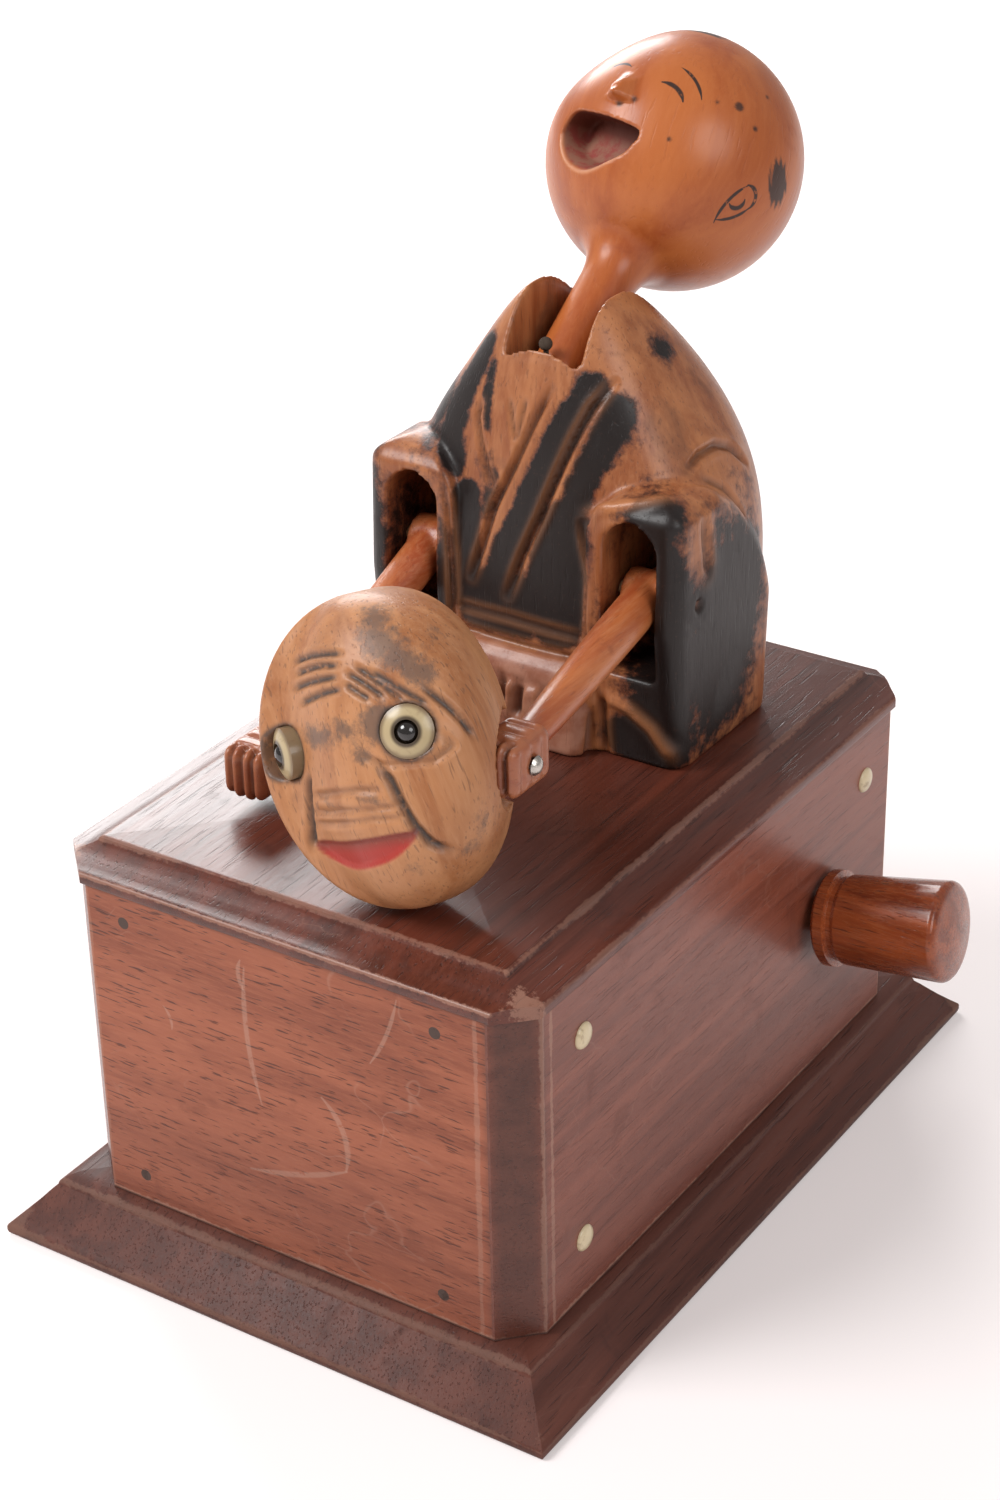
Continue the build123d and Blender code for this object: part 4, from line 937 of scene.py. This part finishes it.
def makeMask(setup):
    mesh = remesh(frame["nodes"]["mask"].data.copy(), "maskWork", setup["voxel"], setup["smooth"])
    points, normals = readPoints(mesh)
    place = maskFrame(setup)
    local = toLocal(points, place)
    front = local[:, 1] < 0
    moved, lines = carve(points, normals, setup["grooves"])[:2]
    stepped, bands = carve(points, normals, setup["bands"])[:2]
    moved += stepped - points
    lips = toLocal(np.array(setup["lips"]), place)[:, [0, 2]]
    depth = polygonGap(local[:, [0, 2]], smoothLoop(lips))
    mouth = np.clip(depth / 0.25 + 0.5, 0, 1) * front
    moved -= normals * (0.35 * np.clip(depth / 0.5, 0, 1) * front)[:, None]
    upper = toLocal(np.array(setup["lips"][:5]), place)
    topGap = nearLine(local, upper)[0]
    spread, rise, turn, radius = setup["eyes"]
    wide, deep, tall = setup["shell"]
    rims = np.zeros(len(points))
    for side in (-1, 1):
        bulge = math.sqrt(1 - (2 * spread / wide) ** 2 - (2 * rise / tall) ** 2)
        centre = np.array([side * spread, -deep * bulge, rise])
        axis = np.array([side * math.sin(math.radians(turn)), -math.cos(math.radians(turn)), 0])
        offset = local - centre
        along = offset @ axis
        radial = np.linalg.norm(offset - along[:, None] * axis, axis=1)
        rims = np.maximum(rims, np.exp(-((radial - radius - 0.1) / 0.32) ** 2) * (np.abs(along) < 2.6))
    writePoints(mesh, moved)
    setMask(mesh, "smudge", blobs(points, setup["smudges"]) * front)
    setMask(mesh, "lines", np.maximum(np.maximum(lines, bands * 0.3), rims * 0.85) * front)
    setMask(mesh, "lips", mouth)
    setMask(mesh, "lipTop", np.clip(1.6 - topGap, 0, 1))
    return addPiece("carvedMask", mesh, bodyOf["mask"], materials["mask_wood"], ["mask"])


makeMask(maskSetup)
print("mask carved")


# head
def headBlank(setup):
    build = bmesh.new()
    build.from_mesh(frame["nodes"]["head"].data)
    place = Matrix.Translation(Vector(setup["centre"]) * mm)
    bmesh.ops.create_icosphere(build, subdivisions=6, radius=setup["ball"] * mm, matrix=place)
    corners = [build.verts.new(Vector(corner) * mm) for corner in setup["nose"]]
    bmesh.ops.convex_hull(build, input=corners)
    mesh = bpy.data.meshes.new("headBlank")
    build.to_mesh(mesh)
    build.free()
    return mesh


def makeHead(setup):
    mesh = remesh(headBlank(setup), "headWork", setup["voxel"], 2)
    points, normals = readPoints(mesh)
    centre = np.array(setup["centre"])
    outline = np.array(setup["mouth"], float)
    middle = outline.mean(axis=0)
    out = (middle - centre) / np.linalg.norm(middle - centre)
    right = np.cross([0, 0, 1], out)
    right /= np.linalg.norm(right)
    up = np.cross(out, right)

    def flatten(values):
        return np.column_stack([(values - middle) @ right, (values - middle) @ up])

    polygon = smoothLoop(flatten(outline))
    inward = np.clip(polygonGap(flatten(points), polygon), -5, 5)
    facing = (points - centre) @ out > 8.5
    low = np.clip(-flatten(points)[:, 1] / 3.5, 0, 1)
    wall = 0.35 + 1.6 * low
    target = setup["mouthDepth"] * np.clip(inward / wall, 0, 1) * (1 - 0.45 * low)
    push = target * facing * (inward > 0)
    way, depth, spread = setup["flat"]
    way = np.array(way) / np.linalg.norm(way)
    turned = np.arccos(np.clip((points - centre) @ way / np.linalg.norm(points - centre, axis=1), -1, 1))
    flatter = depth * np.exp(-(turned / spread) ** 2)
    writePoints(mesh, points - push[:, None] * out - flatter[:, None] * way)
    even = remesh(mesh, "headEven", setup["voxel"], 1)
    points, normals = readPoints(even)
    inward = np.clip(polygonGap(flatten(points), polygon), -5, 5)
    facing = (points - centre) @ out > 6.5
    turned = np.arccos(np.clip((points - centre) @ way / np.linalg.norm(points - centre, axis=1), -1, 1))
    below = setup["skin"] - np.linalg.norm(points - centre,
                                           axis=1) - depth * np.exp(-(turned / spread) ** 2)
    cavity = np.clip(below / 0.4 - 0.6, 0, 1) * facing * (inward > -0.3)
    rim = np.exp(-((inward + 0.05) / 0.22) ** 2) * facing * np.clip(1 - below, 0, 1)
    rim *= np.clip(0.4 - flatten(points)[:, 1], 0.15, 1)
    paint = np.zeros(len(points))
    for spot, radii in setup["tufts"]:
        share = np.sqrt((((points - np.array(spot)) / np.array(radii)) ** 2).sum(axis=1))
        streaks = 0.16 * np.sin(points[:, 1] * 7.0 + 2.0 * np.sin(points[:, 2] * 1.3))
        paint = np.maximum(paint, np.clip((1.02 + streaks - share) * 5, 0, 0.96))
    for spot, radius in setup["spots"]:
        gap = np.linalg.norm(points - np.array(spot), axis=1)
        paint = np.maximum(paint, np.clip((radius - gap) / 0.25 + 0.4, 0, 0.9))
    setMask(even, "cavity", cavity)
    setMask(even, "shade", np.clip((flatten(points)[:, 1] + 0.2) / 1.6, 0, 1) * cavity)
    setMask(even, "rim", rim * 0.8)
    setMask(even, "paint", paint)
    return addPiece("carvedHead", even, bodyOf["head"], materials["head_wood"], ["head"])


makeHead(headSetup)
print("head carved")


# base and lid, their mouldings run round the box
mouldSetup = {
    "base": {"profile": [(0, 0.0), (5.6, 0.0), (5.9, 0.15), (6.0, 0.5), (6.0, 1.0), (5.9, 1.25), (5.0, 2.1),
                         (3.9, 3.2), (2.9, 4.3), (2.2, 5.1), (1.75, 5.55), (1.62, 5.7), (1.55, 5.95),
                         (1.45, 6.15), (1.1, 6.42), (0.3, 6.78), (-0.5, 7.0), (-25, 7.0)],
             "cuts": (0.0, 0.0), "reach": (5.8 / 6.0, 6.2 / 6.0)},
    "lid": {"profile": [(-1.2, 0.0), (0.15, 0.0), (0.34, 0.08), (0.4, 0.25), (0.4, 0.95), (0.33, 1.2),
                        (0.1, 1.42), (-0.2, 1.5), (-0.9, 1.62), (-1.9, 1.98), (-2.9, 2.36), (-3.6, 2.66),
                        (-4.05, 2.88), (-4.12, 3.0), (-4.2, 3.22), (-4.4, 3.36), (-4.7, 3.4), (-26, 3.4)],
            "cuts": (5.4, 3.9), "reach": (1.0, 1.0)},
}


def runMoulding(name, mould, foot, node, material):
    # closed board whose edge profile, as (out, up), runs round the box's plan
    halfX, halfY = boxSizes["halfWidth"], boxSizes["halfDepth"]
    build = bmesh.new()
    rings = []
    reachX, reachY = mould["reach"]
    for out, up in mould["profile"]:
        x, y = halfX + out * (reachX if out > 1 else 1), halfY + out * (reachY if out > 1 else 1)
        ring = []
        for sx, sy in ((1, 1), (-1, 1), (-1, -1), (1, -1)):
            cut = mould["cuts"][1 if sx > sy else 0]
            cut = max(cut + 2 * (out - 0.4), 0.0) if cut else 0.0
            cut = max(cut, 0.02)
            corner = [(sx * x, sy * (y - cut)), (sx * (x - cut), sy * y)]
            ring += corner if sx == sy else corner[::-1]
        rings.append([build.verts.new((px * mm, py * mm, (foot + up) * mm)) for px, py in ring])
    for low, high in zip(rings, rings[1:]):
        for i in range(8):
            build.faces.new((low[i], low[(i + 1) % 8], high[(i + 1) % 8], high[i]))
    build.faces.new(rings[0][::-1])
    build.faces.new(rings[-1])
    bmesh.ops.recalc_face_normals(build, faces=build.faces)
    mesh = bpy.data.meshes.new(name)
    build.to_mesh(mesh)
    build.free()
    piece = addPiece(name, mesh, "root", material, [node])
    work = piece.modifiers.new("arris", "BEVEL")
    work.width = 0.12 * mm
    work.segments = 2
    work.limit_method = "ANGLE"
    work.angle_limit = math.radians(40)
    work.use_clamp_overlap = True
    rounded = evaluated(piece)
    piece.modifiers.remove(work)
    piece.data = rounded
    rounded.materials.clear()
    rounded.materials.append(material)
    rounded.shade_smooth()
    rounded.set_sharp_from_angle(angle=math.radians(32))
    return piece


runMoulding("mouldedBase", mouldSetup["base"], 0.0, "base_plinth", materials["base_wood"])
runMoulding("mouldedLid", mouldSetup["lid"], boxSizes["panelTop"], "lid", materials["lid_wood"])
print("base and lid moulded")


# geometry node trees: bone pegs and thread windings
def newGeometryTree(name, inputs):
    tree = bpy.data.node_groups.new(name, "GeometryNodeTree")
    tree.interface.new_socket(name="Geometry", in_out="INPUT", socket_type="NodeSocketGeometry")
    for label, kind, default in inputs:
        socket = tree.interface.new_socket(name=label, in_out="INPUT", socket_type="NodeSocket" + kind)
        if default is not None:
            socket.default_value = default
    tree.interface.new_socket(name="Geometry", in_out="OUTPUT", socket_type="NodeSocketGeometry")
    return tree, put(tree, "NodeGroupInput").outputs


def endGeometryTree(tree, shape, material):
    solid = put(tree, "GeometryNodeRealizeInstances", {0: shape})
    painted = put(tree, "GeometryNodeSetMaterial", {0: solid.outputs[0], "Material": material})
    smooth = put(tree, "GeometryNodeSetShadeSmooth", {0: painted.outputs[0]})
    put(tree, "NodeGroupOutput", {0: smooth.outputs[0]})


def runTree(name, tree, mesh, values):
    # mesh that a geometry tree makes of a start mesh, with values for its named inputs
    work = bpy.data.objects.new(name, mesh)
    bpy.context.scene.collection.objects.link(work)
    modifier = work.modifiers.new("rule", "NODES")
    modifier.node_group = tree
    for item in tree.interface.items_tree:
        if item.in_out == "INPUT" and item.name in values:
            modifier[item.identifier] = values[item.name]
    result = evaluated(work)
    bpy.data.objects.remove(work)
    return result


def pegTree(material):
    tree, given = newGeometryTree("bonePegs", [("Radius", "Float", 0.0015), ("Length", "Float", 0.0105),
                                               ("Rise", "Float", 0.0006), ("Turn", "Vector", None)])
    shank = put(tree, "GeometryNodeMeshCylinder", {"Vertices": 40, "Radius": given["Radius"],
                                                   "Depth": given["Length"]})
    back = put(tree, "ShaderNodeMath", {0: given["Length"], 1: -0.5}, operation="MULTIPLY").outputs[0]
    down = put(tree, "ShaderNodeCombineXYZ", {2: back}).outputs[0]
    sunk = put(tree, "GeometryNodeTransform", {0: shank.outputs[0], "Translation": down})
    ball = put(tree, "GeometryNodeMeshUVSphere", {"Segments": 40, "Rings": 20, "Radius": 1.0})
    size = put(tree, "ShaderNodeCombineXYZ", {0: given["Radius"], 1: given["Radius"],
                                              2: given["Rise"]}).outputs[0]
    dome = put(tree, "GeometryNodeTransform", {0: ball.outputs[0], "Scale": size})
    peg = put(tree, "GeometryNodeJoinGeometry")
    tree.links.new(sunk.outputs[0], peg.inputs[0])
    tree.links.new(dome.outputs[0], peg.inputs[0])
    row = put(tree, "GeometryNodeInstanceOnPoints", {0: given["Geometry"], "Instance": peg.outputs[0],
                                                     "Rotation": given["Turn"]})
    endGeometryTree(tree, row.outputs[0], material)
    return tree


def windingTree(material):
    tree, given = newGeometryTree("threadWinding", [("Radius", "Float", 0.004), ("Turns", "Float", 5.0),
                                                    ("Width", "Float", 0.002), ("Thread", "Float", 0.00025),
                                                    ("Turn", "Vector", None), ("Place", "Vector", None)])
    coil = put(tree, "GeometryNodeCurveSpiral", {"Resolution": 32, "Rotations": given["Turns"],
                                                 "Start Radius": given["Radius"],
                                                 "End Radius": given["Radius"], "Height": given["Width"]})
    ring = put(tree, "GeometryNodeCurvePrimitiveCircle", {"Resolution": 8, "Radius": given["Thread"]})
    wound = put(tree, "GeometryNodeCurveToMesh", {0: coil.outputs[0], 1: ring.outputs[0],
                                                  "Fill Caps": True})
    half = put(tree, "ShaderNodeMath", {0: given["Width"], 1: -0.5}, operation="MULTIPLY").outputs[0]
    middle = put(tree, "GeometryNodeTransform", {0: wound.outputs[0],
                                                 "Translation": put(tree, "ShaderNodeCombineXYZ",
            {2: half}).outputs[0]})
    placed = put(tree, "GeometryNodeTransform", {0: middle.outputs[0], "Translation": given["Place"],
                                                 "Rotation": given["Turn"]})
    endGeometryTree(tree, placed.outputs[0], material)
    return tree


pegSetup = {
    "y": 30.9, "top": 39.8, "foot": 14.5, "behindKnob": 17.0,
    "radius": 1.5, "length": 10.5, "rise": 0.6,
}
windingSetup = {
    "start": (30.0, 20.7, 26.8),
    "slope": (1, 0.06467, 0.14945),
    "spools": [(14.0, 4.0, 4), (-14.0, 4.0, 4), (0.0, 2.0, 4)],
    "width": 1.7, "thread": 0.25,
}


def makePegs(setup):
    tree = pegTree(materials["bone"])
    for side, node in ((1, "right_bone_pegs"), (-1, "left_bone_pegs")):
        foot = setup["behindKnob"] if side > 0 else setup["foot"]
        spots = [(-setup["y"], setup["top"]), (-setup["y"], setup["foot"]), (setup["y"], setup["top"]),
                 (setup["y"], foot)]
        mesh = bpy.data.meshes.new(node)
        mesh.from_pydata([(side * boxSizes["halfWidth"] * mm, y * mm, z * mm) for y, z in spots], [], [])
        values = {"Radius": setup["radius"] * mm, "Length": setup["length"] * mm,
                  "Rise": setup["rise"] * mm, "Turn": (0.0, side * math.pi / 2, 0.0)}
        made = runTree(node + "Work", tree, mesh, values)
        addPiece("domed" + node.title().replace("_", ""), made, "root", materials["bone"],
                 [node])


def makeWindings(setup):
    tree = windingTree(materials["thread"])
    axis = Vector(setup["slope"]).normalized()
    turn = axis.to_track_quat("Z", "Y").to_euler()
    build = bmesh.new()
    for x, radius, turns in setup["spools"]:
        start, slope = Vector(setup["start"]), Vector(setup["slope"])
        values = {"Radius": (radius + setup["thread"]) * mm, "Turns": float(turns),
                  "Width": setup["width"] * mm, "Thread": setup["thread"] * mm, "Turn": tuple(turn),
                  "Place": tuple((start + slope * (x - start.x)) * mm)}
        made = runTree("windingWork", tree, bpy.data.meshes.new("winding"), values)
        build.from_mesh(made)
    mesh = bpy.data.meshes.new("windings")
    build.to_mesh(mesh)
    build.free()
    addPiece("woundThreads", mesh, bodyOf["thread_windings"], materials["thread"],
             ["thread_windings"])


makePegs(pegSetup)
makeWindings(windingSetup)
print("pegs and windings made")


# the CAD nodes that stay get their slot's material
def eyeMaterials(setup):
    place = Matrix(maskFrame(setup).tolist())
    spread, rise, turn, radius = setup["eyes"]
    made = {}
    for side, node in ((1, "mask_right_eye"), (-1, "mask_left_eye")):
        centre = place @ Vector((side * spread, -6.48, rise))
        axis = place.to_3x3() @ Vector((side * math.sin(math.radians(turn)), -math.cos(math.radians(turn)),
                                        0))
        made[node] = eyeMaterial(node.replace("_", " ").title().replace(" ", ""), centre, axis)
    return made


def paintNodes():
    eyes = eyeMaterials(maskSetup)
    for node, obj in frame["nodes"].items():
        material = eyes.get(node) or materials.get(slots[node])
        if material is None:
            continue
        if not obj.data.materials:
            obj.data.materials.append(material)
        for index in range(len(obj.material_slots)):
            obj.material_slots[index].material = material


paintNodes()
